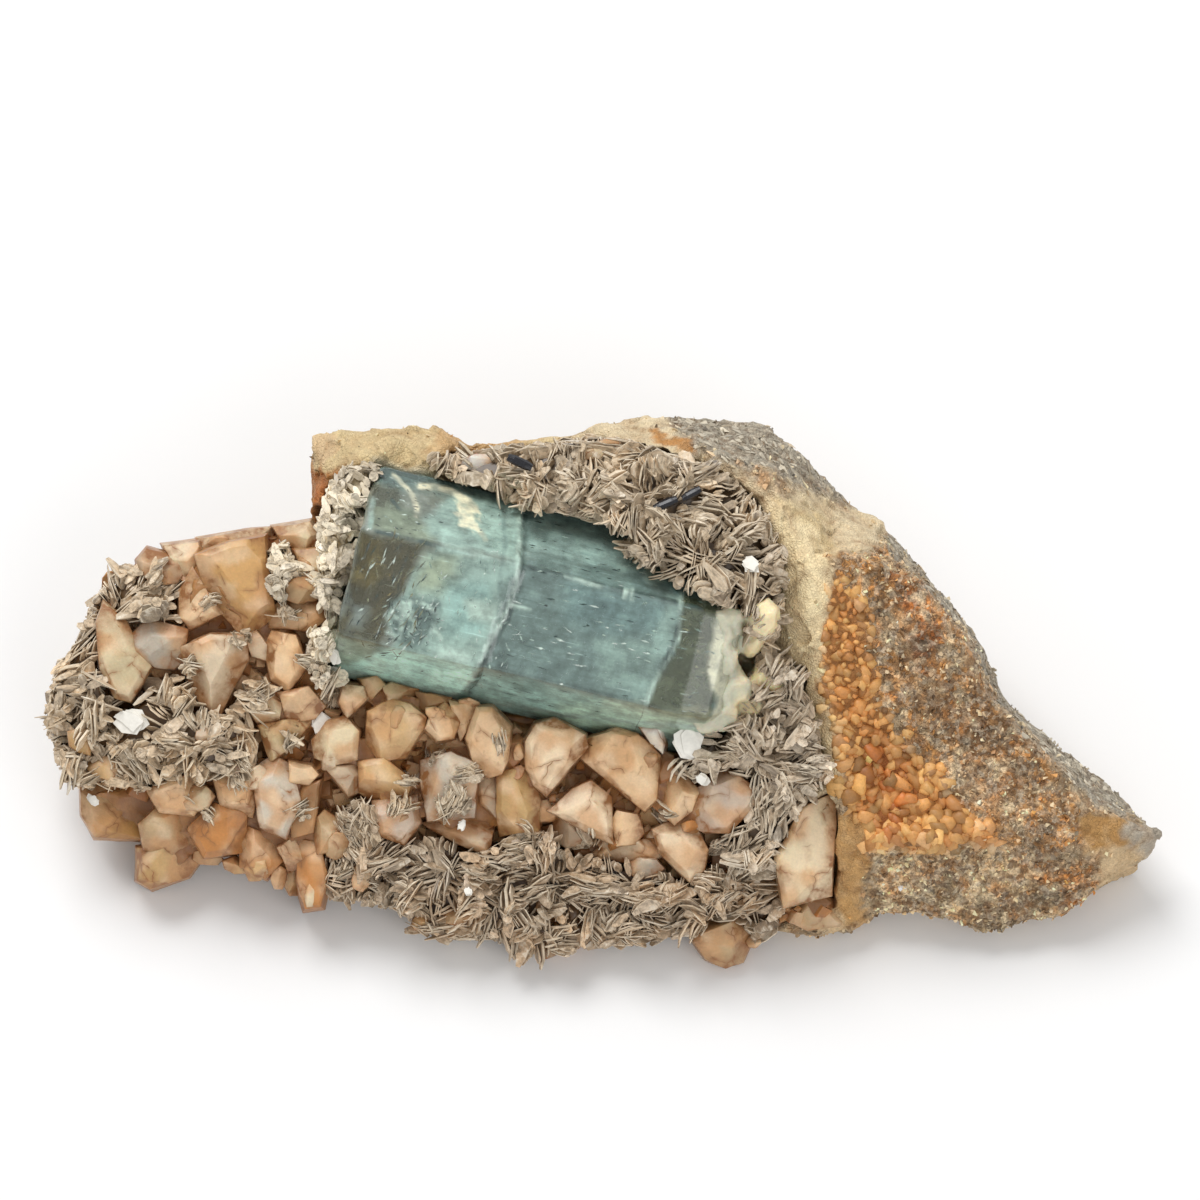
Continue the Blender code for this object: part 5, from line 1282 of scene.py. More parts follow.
def book_frames(spots, directions, flat_share, source):
    """How each book stands: alike over small patches, and fanned in the rosettes."""
    count = len(spots)
    patch = patchwork(spots, BOOK_PATCH, 2.0)
    turn = patch[:, 0] * math.tau + source.normal(0.0, 0.30, count)
    for x, y, radius in ROSETTES:
        u, v = on_face((x, y))
        gap = np.hypot(spots[:, 0] - u, spots[:, 1] - v)
        radial = np.arctan2(spots[:, 1] - v, spots[:, 0] - u)
        close = gap < radius
        turn[close] = radial[close] + source.normal(0.0, 0.32, int(close.sum()))
    shown = held(directions[:, 2:] * 2.5 + 0.4)
    outward = directions * (1 - 0.6 * shown) + np.array((0.0, 0.0, 1.0)) * 0.6 * shown
    outward = unit(outward)
    sideways = np.array((1.0, 0.0, 0.0)) - outward * outward[:, :1]
    short = np.linalg.norm(sideways, axis=1) < 0.2
    sideways[short] = np.cross(outward[short], (0.0, 1.0, 0.0))
    sideways = unit(sideways)
    along, aside = turned_about(sideways, np.cross(outward, sideways), turn[:, None])
    lean = (patch[:, 1:2] - 0.5) * math.radians(50) + source.normal(0.0, 0.25, (count, 1))
    flat = source.random(count) < flat_share
    lean[flat] = math.radians(70) + source.normal(0.0, 0.25, (int(flat.sum()), 1))
    dip = source.normal(0.0, math.radians(16), (count, 1))
    outward, aside = turned_about(outward, aside, lean)
    along, outward = turned_about(along, outward, dip)
    half_length = (0.9 + 1.7 * source.random(count) ** 1.3)[:, None]
    half_width = source.uniform(0.55, 1.1, count)[:, None]
    half_stack = source.uniform(0.4, 0.85, count)[:, None]
    frames = np.stack((along * half_length, outward * half_width, aside * half_stack), axis=1)
    frames[flat] *= 0.7
    return frames, flat


def clear_places(spots, _):
    """True above the floor and away from the places that stay free of mica books."""
    free = above_ground(spots, height=1.2)
    for x, y, radius in FREE_PLACES:
        u, v = on_face((x, y))
        free &= np.hypot(spots[:, 0] - u, spots[:, 1] - v) > radius
    return free


def book_piece(name, centres, frames, tones, finish, source, seed):
    """Mica books at their places, with the fine layers that their material draws."""
    total = len(centres)
    templates = [mica_book(item + seed) for item in range(20)]
    kinds = source.integers(0, 20, total)
    drawn = scatter(templates, centres, frames, kinds, tones)
    across = np.tile(np.diag((0.4, 0.7, 6.0)), (total, 1, 1))
    lines, _, _ = scatter(templates, source.uniform(0, 90, (total, 3)), across, kinds, tones)
    books = piece(name, *drawn, "FACE", False, finish, "muscovite")
    layer = books.data.attributes.new("layers", "FLOAT_VECTOR", "POINT")
    layer.data.foreach_set("vector", lines.ravel())
    return books


def make_mica(name, spacing, tone, flat_share, finish, seed):
    """One mass of mica: a rough ground with books standing all over it."""
    spots, directions = wanted_spots(name, clear_places, seed, spacing, most=1500)
    source = np.random.default_rng(seed)
    frames, flat = book_frames(spots, directions, flat_share, source)
    centres = spots - directions * np.where(flat, 0.1, 0.25)[:, None]
    keep = clear_of_floor(centres, frames)
    centres, frames, flat = kept(keep, centres, frames, flat)
    patch = patchwork(centres, BOOK_PATCH, 2.0)
    bright = source.normal(0.97, 0.2, len(centres)) + (patch[:, 2] - 0.5) * 0.4
    tones = rgb(tone) * held(bright, 0.4, 1.5)[:, None]
    grey = held(0.1 + 1.6 * ripple(centres, 5.0), 0.0, 0.45)[:, None]
    tones = tones * (1 - grey) + rgb("mica_grey") * 0.85 * grey
    # Books that lie flat are painted lighter: a painted sheen on their faces.
    tones[flat] *= 1.08
    books = book_piece(name.replace("muscovite", "mica_books"), centres, frames, tones,
                       finish, source, seed)
    ground, outward, sides = arrays(form_of(name, FORM_VOXEL))
    ground = ground + outward * (-0.8 + 0.3 * ripple(ground, 1.2))[:, None]
    # The ground is painted dark, less so where more books lie flat: painted shade in the gaps
    # between the books.
    paint = paint_of(ground, rgb(tone) ** 2 * (0.17 + 0.5 * flat_share))
    mass = piece(name.replace("muscovite", "mica_ground"), ground, sides, paint, "POINT", True,
                 finish, "muscovite")
    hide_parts(name)
    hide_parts(name)


def make_stray_books(finish):
    """Small mica books between the feldspar crystals."""
    source = np.random.default_rng(77)
    spots, directions = [], []
    for x, y, radius, count in STRAY_MICA:
        for _ in range(count):
            turn, reach = source.uniform(0, math.tau), radius * math.sqrt(source.random())
            u, v = on_face((x + reach * math.cos(turn), y + reach * math.sin(turn)))
            spot, direction = surface_at(u, v)
            spots.append(spot)
            directions.append(direction)
    spots, directions = np.array(spots), np.array(directions)
    frames, _ = book_frames(spots, directions, flat_share=0.3, source=source)
    frames *= 0.8
    keep = clear_of_floor(spots, frames)
    spots, frames = kept(keep, spots, frames)
    tones = rgb("mica") * held(source.normal(0.95, 0.2, len(spots)), 0.4, 1.4)[:, None]
    return book_piece("mica_among_feldspar", spots, frames, tones, finish, source, seed=300)


def make_silver_flakes(finish):
    """Flat silvery plates that face the viewer, each three sheets thick."""
    parts = []
    for index, (x, y, half, turn) in enumerate(SILVER_FLAKES):
        source = random.Random(index + 60)
        u, v = on_face((x, y))
        base, direction = surface_at(u, v)
        up = (direction + OUT * 1.5).normalized()
        side = up.cross(Vector((math.cos(math.radians(turn)), math.sin(math.radians(turn)), 0)))
        side.normalize()
        across = up.cross(side)
        for sheet in range(3):
            corners = 9
            centre = base + up * (0.7 + 0.2 * sheet)
            ring = []
            for corner in range(corners):
                angle = math.tau * corner / corners + source.uniform(-0.25, 0.25)
                reach = half * source.uniform(0.6, 1.2) * (1 - 0.1 * sheet)
                spot = side * math.cos(angle) * reach + across * math.sin(angle) * reach * 0.75
                ring.append(centre + spot)
            points = [spot - up * 0.05 for spot in ring] + [spot + up * 0.05 for spot in ring]
            points += [centre - up * 0.05, centre + up * 0.07]
            faces = tube_faces(2, corners)
            parts.append((np.array(points), faces, paint_of(faces, rgb("white"))))
    return piece("silver_mica_flakes", *joined(parts), "FACE", False, finish, "muscovite")


# The aquamarine.


def prism_place(s, p, w):
    """A point of the prism's own frame on the face: s along it and p up its face."""
    return (s * math.cos(PRISM_DESCENT) + p * math.sin(PRISM_DESCENT),
            -s * math.sin(PRISM_DESCENT) + p * math.cos(PRISM_DESCENT), w)


def prism_frame(points):
    """s, p and w of face points."""
    s = points[:, 0] * math.cos(PRISM_DESCENT) - points[:, 1] * math.sin(PRISM_DESCENT)
    p = points[:, 0] * math.sin(PRISM_DESCENT) + points[:, 1] * math.cos(PRISM_DESCENT)
    return s, p, points[:, 2]


def side_angle(side):
    """The direction of one of the prism's six sides, from p towards w."""
    return math.radians(PRISM_TURN + 30 + 60 * side)


def prism_distance(points):
    """Roughly how far each point is from the prism's surface, in millimetres."""
    s, p, w = prism_frame(points)
    reach = np.full(len(points), -FAR)
    for side in range(6):
        angle = side_angle(side)
        flat = PRISM_SIDE * PRISM_SHARE
        away = (p - PRISM_CENTRE[0]) * math.cos(angle) + (w - PRISM_CENTRE[1]) * math.sin(angle)
        reach = np.maximum(reach, away - flat)
    return np.maximum(reach, np.maximum(PRISM_START - s, s - PRISM_END))


def prism_section(front_steps, back_steps):
    """The hexagon as unit offsets in p and w, with finer steps on its three front sides."""
    section = []
    for corner in range(6):
        here, then = (math.radians(PRISM_TURN + 60 * (corner + k)) for k in (0, 1))
        first = Vector((math.cos(here), math.sin(here)))
        last = Vector((math.cos(then), math.sin(then)))
        steps = front_steps if corner < 3 else back_steps
        section += [first.lerp(last, (step + 0.5) / steps) for step in range(steps)]
    return section


def prism_mesh(inset, spacing, front_steps, back_steps):
    """The prism as rings of points, inset from the crystal's faces."""
    section = prism_section(front_steps, back_steps)
    start, end = PRISM_START + inset, PRISM_END - inset
    rings = int((end - start) / spacing) + 1
    count = len(section)
    points = []
    for ring in range(rings):
        s = start + (end - start) * ring / (rings - 1)
        share = np.interp(s, [row[0] for row in END_SHARES], [row[1] for row in END_SHARES])
        for spot in section:
            radius = PRISM_SIDE * share
            p = PRISM_CENTRE[0] + spot.x * radius
            wobble = 0.35 * noise.noise((p * 0.9, 3.1, spot.y * 4))
            edge = line_at(FIRST_FRACTURE, p) + wobble
            past = min(max((s - edge) / 0.3, 0.0), 1.0)
            radius *= 1.0 + (STEP_SHARE - 1.0) * past
            grooves = 0.05 * noise.noise((spot.x * 10.0, spot.y * 10.0, s * 0.03 + past * 7))
            grooves += 0.025 * noise.noise((spot.x * 28.0, spot.y * 28.0, s * 0.08 + past * 9))
            radius += grooves - inset * 1.1
            ends = ring in (0, rings - 1)
            slant = 0.5 * noise.noise((spot.x * 2, spot.y * 2, 4.0)) if ends else 0.0
            points.append(prism_place(s + slant, PRISM_CENTRE[0] + spot.x * radius,
                                      PRISM_CENTRE[1] + spot.y * radius))
    points += [prism_place(s, *PRISM_CENTRE) for s in (start, end)]
    return np.array(points), tube_faces(rings, count)


def paint_milk(points, layer):
    """Tone and milkiness inside the crystal at each point."""
    warp = 0.5 * ripple(points, 2.4, layer) + 0.3 * ripple(points, 0.8, layer + 4.0)
    tone = rgb("teal")
    milk = np.full(len(points), 0.7)
    for name, amount, softness, outline in CRYSTAL_ZONES:
        share = held(0.5 + (depth_in(points, outline) + warp) / softness)
        tone = towards(tone, name, share)
        milk += (amount - milk) * share
    clouds = ripple(points, 2.6, layer + 9.0) + 0.5 * ripple(points, 1.0, layer + 2.0)
    # Painted light: the prism's lower face, turned down and shaded, is painted more mint and much
    # lighter.
    _, p, _ = prism_frame(points)
    lower = held(0.9 - p)
    tone = towards(tone, "mint", 0.6 * lower)
    tone *= (1.0 + 0.2 * clouds + 1.1 * lower)[:, None]
    milk *= 1.0 + 0.16 * clouds
    if layer == 0:
        for name, half, line in CRYSTAL_LINES:
            gap = gap_to(points, [on_face(pixel) for pixel in line])
            share = held((half + 0.16 * (1.0 + warp) - gap) / 0.22)
            share *= held(0.75 + 0.9 * ripple(points, 1.1, 6.0))
            tone = towards(tone, name, share)
            milk += (0.95 - milk) * share
        ragged = 0.7 * ripple(points, 0.7, 3.0) + 0.3 * ripple(points, 0.35, 1.0)
        share = held(0.4 + (depth_in(points, INCLUSION) + ragged) / 0.4)
        share *= held(0.85 + 0.6 * ripple(points, 0.6, 8.0), 0.4, 1.0)
        tone = towards(tone, "inclusion", share)
        milk += (1.0 - milk) * share
    return paint_of(points, tone * MILK_GAIN, milk)


def fracture_sheet(line, depth, lean, thickness, seed):
    """A thin wavy sheet inside the crystal, behind a line across its face."""
    source = random.Random(seed)
    shift = source.uniform(0, 9)
    columns, rows = 22, 10
    grid = []
    for side in (0.0, thickness):
        for column in range(columns):
            p = -2.4 + 19.6 * column / (columns - 1)
            for row in range(rows):
                sunk = 0.1 + depth * row / (rows - 1)
                wave = 0.35 * noise.noise((p * 0.5, sunk * 0.6, shift))
                s = line_at(line, p) + 0.3 + lean * sunk + wave + side
                top = prism_top(p)
                grid.append(prism_place(s, p, top - sunk))
    faces = []
    half = columns * rows

    def quad(a, b, c, d):
        faces.extend(((a, b, c), (a, c, d)))

    for column in range(columns - 1):
        for row in range(rows - 1):
            a = column * rows + row
            quad(a, a + rows, a + rows + 1, a + 1)
            quad(half + a, half + a + 1, half + a + rows + 1, half + a + rows)
    for column in range(columns - 1):
        for row in (0, rows - 1):
            a = column * rows + row
            b = a + rows
            quad(a, half + a, half + b, b) if row == 0 else quad(a, b, half + b, half + a)
    for row in range(rows - 1):
        for column in (0, columns - 1):
            a = column * rows + row
            b = a + 1
            quad(a, b, half + b, half + a) if column == 0 else quad(a, half + a, half + b, b)
    return np.array(grid), np.array(faces)


def prism_top(p):
    """The level w of the crystal's upper surface at a height p."""
    best = FAR
    for side in range(6):
        angle = side_angle(side)
        if math.sin(angle) > 0.05:
            flat = PRISM_SIDE * STEP_SHARE * PRISM_SHARE
            rise = (flat - (p - PRISM_CENTRE[0]) * math.cos(angle)) / math.sin(angle)
            best = min(best, PRISM_CENTRE[1] + rise)
    return best


def make_aquamarine(glass, milk, veil):
    """The clear crystal, and what shows inside it."""
    points, faces = prism_mesh(inset=0.0, spacing=0.4, front_steps=32, back_steps=8)
    paint = paint_of(points, 1.0, 1.0)
    crystal = piece("aquamarine", points, faces, paint, "POINT", True, glass, "aquamarine")
    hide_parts("aquamarine_crystal")
    for layer, (inset, spacing, steps) in enumerate(((0.13, 0.28, 42), (2.0, 0.7, 18))):
        points, faces = prism_mesh(inset, spacing, steps, back_steps=8)
        paint = paint_milk(points, layer)
        paint[:, 3] = held(paint[:, 3] * (1.0, 0.92)[layer])
        piece(f"milky_layer_{layer}", points, faces, paint, "POINT", True, milk, "aquamarine")
    for index, (line, depth, lean, strength) in enumerate((
        (FIRST_FRACTURE, 5.5, 0.35, 0.55), (SECOND_FRACTURE, 6.0, -0.25, 0.4),
    )):
        points, faces = fracture_sheet(line, depth, lean, thickness=0.05, seed=index)
        fade = held(strength * (0.7 + 0.6 * ripple(points, 1.4, 3.0)), 0.05, 1.0)
        paint = paint_of(points, rgb("bright_mint"), fade)
        piece(f"fracture_{index}", points, faces, paint, "POINT", True, veil, "aquamarine")
    make_slivers(veil)


def make_end_lumps(finish):
    """The milky lumps that the crystal's right end grows into, melted into one mass."""
    blocks = [feldspar_block(small_crystal(("cream", *row), index), index, root=-3.5)
              for index, row in enumerate(END_LUMPS, 400)]
    points, faces, _ = joined(blocks)
    mesh = bpy.data.meshes.new("lumps")
    mesh.from_pydata(to_world(points).tolist(), [], faces.tolist())
    points, directions, faces = arrays(remeshed(mesh, LUMP_VOXEL))
    bpy.data.meshes.remove(mesh)
    relief = 0.35 * ripple(points, 1.8, 4.0) + 0.25 * broken(points, 1.6, 2.0)
    points = points + directions * relief[:, None]
    warm = held((points[:, 0] - 14.6) / 2.5 + 1.4 * ripple(points, 2.0, 7.0))
    paint = paint_of(points, towards(rgb("milky_green"), "rim_cream", warm))
    return piece("end_lumps", points, faces, paint, "POINT", True, finish, "aquamarine")


def make_slivers(finish):
    """Thin bright and dark slivers just under the crystal's faces."""
    parts = []
    for index, (count, x0, x1, y0, y1, turn, spread, reach, names) in enumerate(SLIVERS):
        source = random.Random(index + 300)
        for _ in range(count):
            u, v = on_face((source.uniform(x0, x1), source.uniform(y0, y1)))
            s, p, _ = prism_frame(np.array([(u, v, 0.0)]))
            if not PRISM_START + 0.8 < s[0] < PRISM_END - 0.8 or not -3.2 < p[0] < 18.6:
                continue
            base = prism_surface(u, v)
            if base is None:
                continue
            spot, up = base
            angle = math.radians(turn + source.gauss(0.0, spread))
            along = Vector((math.cos(angle), math.sin(angle), 0.0))
            along = (along - up * along.dot(up)).normalized()
            aside = up.cross(along)
            half = reach * source.uniform(0.35, 1.0) / 2
            wide = source.uniform(0.05, 0.13)
            middle = spot - up * 0.07
            ring = [along * half, aside * wide + along * half * source.uniform(-0.4, 0.4),
                    -along * half, -aside * wide + along * half * source.uniform(-0.4, 0.4)]
            points = [middle + step for step in ring] + [middle + up * 0.02, middle - up * 0.02]
            faces = []
            for corner in range(4):
                after = (corner + 1) % 4
                faces += [(4, corner, after), (5, after, corner)]
            paint = paint_of(faces, rgb(source.choice(names)), source.uniform(0.5, 1.0))
            parts.append((np.array(points), np.array(faces), paint))
    return piece("inner_slivers", *joined(parts), "FACE", False, finish, "aquamarine")


def prism_surface(u, v):
    """The crystal's own upper surface and its direction at a place of the face."""
    found, direction, _, _ = CRYSTAL.ray_cast(Vector((u, v, RAY_START)), -OUT)
    return None if found is None else (found, direction)


def make_needles(finish):
    """Three black tourmaline needles lying in the mica above the aquamarine."""
    parts = []
    for start, end, half in NEEDLES:
        first, last = Vector((*on_face(start), 0)), Vector((*on_face(end), 0))
        middle = (first + last) / 2
        base, _ = surface_at(middle.x, middle.y)
        along = (last - first).normalized()
        reach = (last - first).length / 2
        aside = OUT.cross(along)
        sides, rings = 9, 5
        points = []
        for ring in range(rings):
            share = ring / (rings - 1)
            taper = 0.75 if ring in (0, rings - 1) else 1.0
            centre = Vector((middle.x, middle.y, base.z + 1.5)) + along * reach * (2 * share - 1)
            for side in range(sides):
                angle = math.tau * side / sides
                radius = half * taper * (1.0 if side % 3 else 1.18)
                points.append(centre + (aside * math.cos(angle) + OUT * math.sin(angle)) * radius)
        for ring in (0, rings - 1):
            corners = points[ring * sides:(ring + 1) * sides]
            points.append(sum(corners, Vector()) / sides)
        paint = paint_of(points, NEEDLE_TONE)
        parts.append((np.array(points), tube_faces(rings, sides), paint))
    return piece("black_tourmaline", *joined(parts), "POINT", False, finish, "host_rock")


# Materials.


def node(tree, kind, values=None, **settings):
    """Adds a node, sets its properties and fills or links its inputs."""
    made = tree.nodes.new(kind)
    for key, value in settings.items():
        setattr(made, key, value)
    for key, value in (values or {}).items():
        if isinstance(value, bpy.types.NodeSocket):
            tree.links.new(value, made.inputs[key])
        else:
            made.inputs[key].default_value = value
    return made


def mixed(tree, share, first, second, way="MIX"):
    """A colour between two others."""
    return node(tree, "ShaderNodeMix", {0: share, 6: first, 7: second}, data_type="RGBA",
                blend_type=way).outputs[2]


def ramp(tree, value, low, high, start=0.0, end=1.0):
    """A value moved from one range to another, held at its ends."""
    return node(tree, "ShaderNodeMapRange", {
        "Value": value, "From Min": low, "From Max": high, "To Min": start, "To Max": end,
    }).outputs[0]


def maths(tree, way, first, second):
    """One step of arithmetic."""
    return node(tree, "ShaderNodeMath", {0: first, 1: second}, operation=way).outputs[0]


def millimetres(tree):
    """The place on the specimen in millimetres."""
    place = node(tree, "ShaderNodeTexCoord").outputs["Object"]
    return node(tree, "ShaderNodeVectorMath", {0: place, "Scale": 1000.0},
                operation="SCALE").outputs[0]


FLOAT, COLOUR = "NodeSocketFloat", "NodeSocketColor"


def noise_at(tree, place, scale, detail, roughness=0.5):
    """Cloudy noise at a place."""
    return node(tree, "ShaderNodeTexNoise", {
        "Vector": place, "Scale": scale, "Detail": detail, "Roughness": roughness,
    }).outputs[0]


def lit(tree, colour, value, contrast):
    """A colour made lighter and darker by a value around zero."""
    gain = maths(tree, "ADD", maths(tree, "MULTIPLY", value, contrast), 1.0)
    bright = node(tree, "ShaderNodeCombineColor", {0: gain, 1: gain, 2: gain}).outputs[0]
    return mixed(tree, 1.0, colour, bright, "MULTIPLY")


def effect(name, inputs, other_output):
    """An empty node group that takes a colour and more, and gives a colour and one value."""
    tree = bpy.data.node_groups.new(name, "ShaderNodeTree")
    for label, kind, value in (("Colour", COLOUR, (0.5, 0.5, 0.5, 1.0)), *inputs):
        socket = tree.interface.new_socket(label, in_out="INPUT", socket_type=kind)
        socket.default_value = value
    for label, kind in (("Colour", COLOUR), (other_output, FLOAT)):
        tree.interface.new_socket(label, in_out="OUTPUT", socket_type=kind)
    entry = tree.nodes.new("NodeGroupInput")
    result = tree.nodes.new("NodeGroupOutput")
    return tree, entry.outputs, result.inputs


def speckle_effect():
    """Lighter and darker specks of one size, with a height that follows them."""
    tree, given, result = effect(
        "mineral speckle", [("Scale", FLOAT, 1.0), ("Contrast", FLOAT, 0.3)], "Height")
    cloud = noise_at(tree, millimetres(tree), given["Scale"], 5.0, 0.62)
    spread = ramp(tree, cloud, 0.28, 0.72, -1.0, 1.0)
    tree.links.new(lit(tree, given["Colour"], spread, given["Contrast"]), result["Colour"])
    tree.links.new(cloud, result["Height"])
    return tree


def grain_effect():
    """Separate mineral grains, each with its own tint, and their outlines as a height."""
    tree, given, result = effect(
        "separate grains", [("Scale", FLOAT, 2.0), ("Tint", COLOUR, (0.3, 0.25, 0.2, 1.0)),
                            ("Amount", FLOAT, 0.3)], "Height")
    place = millimetres(tree)
    grains = node(tree, "ShaderNodeTexVoronoi", {"Vector": place, "Scale": given["Scale"]})
    pick = node(tree, "ShaderNodeSeparateColor", {0: grains.outputs["Color"]}).outputs[0]
    chosen = maths(tree, "MULTIPLY", ramp(tree, pick, 0.35, 0.95), given["Amount"])
    tree.links.new(mixed(tree, chosen, given["Colour"], given["Tint"]), result["Colour"])
    edge = node(tree, "ShaderNodeTexVoronoi", {"Vector": place, "Scale": given["Scale"]},
                feature="DISTANCE_TO_EDGE").outputs["Distance"]
    tree.links.new(ramp(tree, edge, 0.0, 0.25), result["Height"])
    return tree


def stain_effect():
    """Iron stain in thin cracks and, by a mask, iron stain and painted shade in the crevices."""
    tree, given, result = effect(
        "iron stain", [("Stain", COLOUR, (0.3, 0.12, 0.04, 1.0)), ("Stain And Shade", FLOAT, 0.0),
                       ("Crack Scale", FLOAT, 0.2), ("Crack Width", FLOAT, 0.014),
                       ("Crack Amount", FLOAT, 0.8)], "Mask")
    place = millimetres(tree)
    warp = node(tree, "ShaderNodeTexNoise", {"Vector": place, "Scale": 0.3, "Detail": 3.0})
    swing = node(tree, "ShaderNodeVectorMath", {0: warp.outputs["Color"], "Scale": 2.4},
                 operation="SCALE").outputs[0]
    moved = node(tree, "ShaderNodeVectorMath", {0: place, 1: swing},
                 operation="ADD").outputs[0]
    edge = node(tree, "ShaderNodeTexVoronoi", {"Vector": moved, "Scale": given["Crack Scale"]},
                feature="DISTANCE_TO_EDGE").outputs["Distance"]
    away = maths(tree, "DIVIDE", edge, given["Crack Width"])
    halo = maths(tree, "MULTIPLY", ramp(tree, away, 9.0, 0.5), 0.5)
    thin = maths(tree, "MAXIMUM", ramp(tree, away, 1.3, 0.3), halo)
    broken_up = ramp(tree, noise_at(tree, place, 0.4, 3.0), 0.48, 0.60)
    crack = maths(tree, "MULTIPLY", maths(tree, "MULTIPLY", thin, broken_up),
                  given["Crack Amount"])
    patch = ramp(tree, noise_at(tree, place, 0.8, 5.0, 0.65), 0.35, 0.65, 0.35, 1.0)
    deep = maths(tree, "MULTIPLY", given["Stain And Shade"], patch)
    mask = maths(tree, "MINIMUM", maths(tree, "ADD", crack, deep), 1.0)
    tree.links.new(mixed(tree, mask, given["Colour"], given["Stain"]), result["Colour"])
    tree.links.new(mask, result["Mask"])
    return tree


def streak_effect():
    """Fine lines that run along the crystal's axis, as a tint and as a height."""
    tree, given, result = effect(
        "lengthwise streaks", [("Scale", FLOAT, 2.0), ("Contrast", FLOAT, 0.15),
                               ("Light", COLOUR, (0.7, 0.9, 0.85, 1.0)),
                               ("Dark", COLOUR, (0.08, 0.16, 0.15, 1.0))], "Height")
    place = millimetres(tree)
    axis = tuple(np.array(prism_place(1.0, 0.0, 0.0)) @ FACE_AXES)
    along = node(tree, "ShaderNodeVectorMath", {0: place, 1: axis},
                 operation="DOT_PRODUCT").outputs["Value"]
    drawn = node(tree, "ShaderNodeVectorMath", {0: axis, "Scale": maths(
        tree, "MULTIPLY", along, 0.93)}, operation="SCALE").outputs[0]
    squeezed = node(tree, "ShaderNodeVectorMath", {0: place, 1: drawn},
                    operation="SUBTRACT").outputs[0]
    lines = noise_at(tree, squeezed, given["Scale"], 5.0, 0.65)
    spread = ramp(tree, lines, 0.3, 0.7, -1.0, 1.0)
    toned = lit(tree, given["Colour"], spread, given["Contrast"])
    light = maths(tree, "MULTIPLY", ramp(tree, lines, 0.66, 0.72), 0.6)
    toned = mixed(tree, light, toned, given["Light"])
    dark = maths(tree, "MULTIPLY", ramp(tree, lines, 0.35, 0.30), 0.55)
    toned = mixed(tree, dark, toned, given["Dark"])
    tree.links.new(toned, result["Colour"])
    tree.links.new(lines, result["Height"])
    return tree


def use(tree, group, values):
    """Adds an effect and gives its outputs."""
    return node(tree, "ShaderNodeGroup", values, node_tree=group).outputs


def speckled(tree, speckle, tone, *layers):
    """Specks over a tone, each layer with a scale and a contrast; gives the last one's outputs."""
    for scale, contrast in layers:
        given = use(tree, speckle, {"Colour": tone, "Scale": scale, "Contrast": contrast})
        tone = given["Colour"]
    return given


def finish_of(name, roughness, plain=None):
    """A new material: itself, its tree, its shader, and the tone and mask of the piece's paint."""
    made = bpy.data.materials.new(name)
    made.use_nodes = True
    tree = made.node_tree
    shader = tree.nodes["Principled BSDF"]
    shader.inputs["Roughness"].default_value = roughness
    for key, value in (plain or {}).items():
        shader.inputs[key].default_value = value
    paint = node(tree, "ShaderNodeAttribute", attribute_name="tone")
    return made, tree, shader, paint.outputs["Color"], paint.outputs["Alpha"]


def bumped(tree, shader, height, strength, distance):
    """Leads a height to the shader's normal. The distance is in millimetres."""
    bump = node(tree, "ShaderNodeBump", {"Strength": strength, "Distance": distance * MM,
                                         "Height": height})
    tree.links.new(bump.outputs[0], shader.inputs["Normal"])


# Plain finishes: roughness, other shader values, specks as scale and contrast, and the bump's
# strength and distance in millimetres.
PLAIN_FINISHES = {
    "mineral_grain": (0.5, {}, ((3.0, 0.16),), 0.4, 0.06),
    "milky_end": (0.3, {"Subsurface Weight": 0.3, "Subsurface Scale": 0.001, "Coat Weight": 0.2},
                  ((0.6, 0.12), (3.0, 0.08)), 0.5, 0.1),
    "silver_mica": (0.22, {"Coat Weight": 0.4, "Coat Roughness": 0.08}, ((1.4, 0.10),), 0.5, 0.05),
    "black_tourmaline": (0.25, {}, ((3.0, 0.4),), 0.5, 0.06),
}


def make_materials():
    """Every finish of the specimen, by name."""
    speckle, grain, stain = speckle_effect(), grain_effect(), stain_effect()
    streaks = streak_effect()
    finishes = {
        "broken_pegmatite": rock_finish(speckle, grain, stain),
        "waxy_feldspar": feldspar_finish(speckle, stain),
        "pearly_muscovite": mica_finish(speckle),
        "milky_beryl": milk_finish(speckle, streaks),
        "healed_fracture": veil_finish(speckle),
        "aquamarine_crystal": aquamarine_glass(speckle, streaks),
    }
    for name, (roughness, plain, specks, strength, distance) in PLAIN_FINISHES.items():
        made, tree, shader, tone, _ = finish_of(name, roughness, plain)
        fine = speckled(tree, speckle, tone, *specks)
        tree.links.new(fine["Colour"], shader.inputs["Base Color"])
        bumped(tree, shader, fine["Height"], strength, distance)
        finishes[name] = made
    return finishes


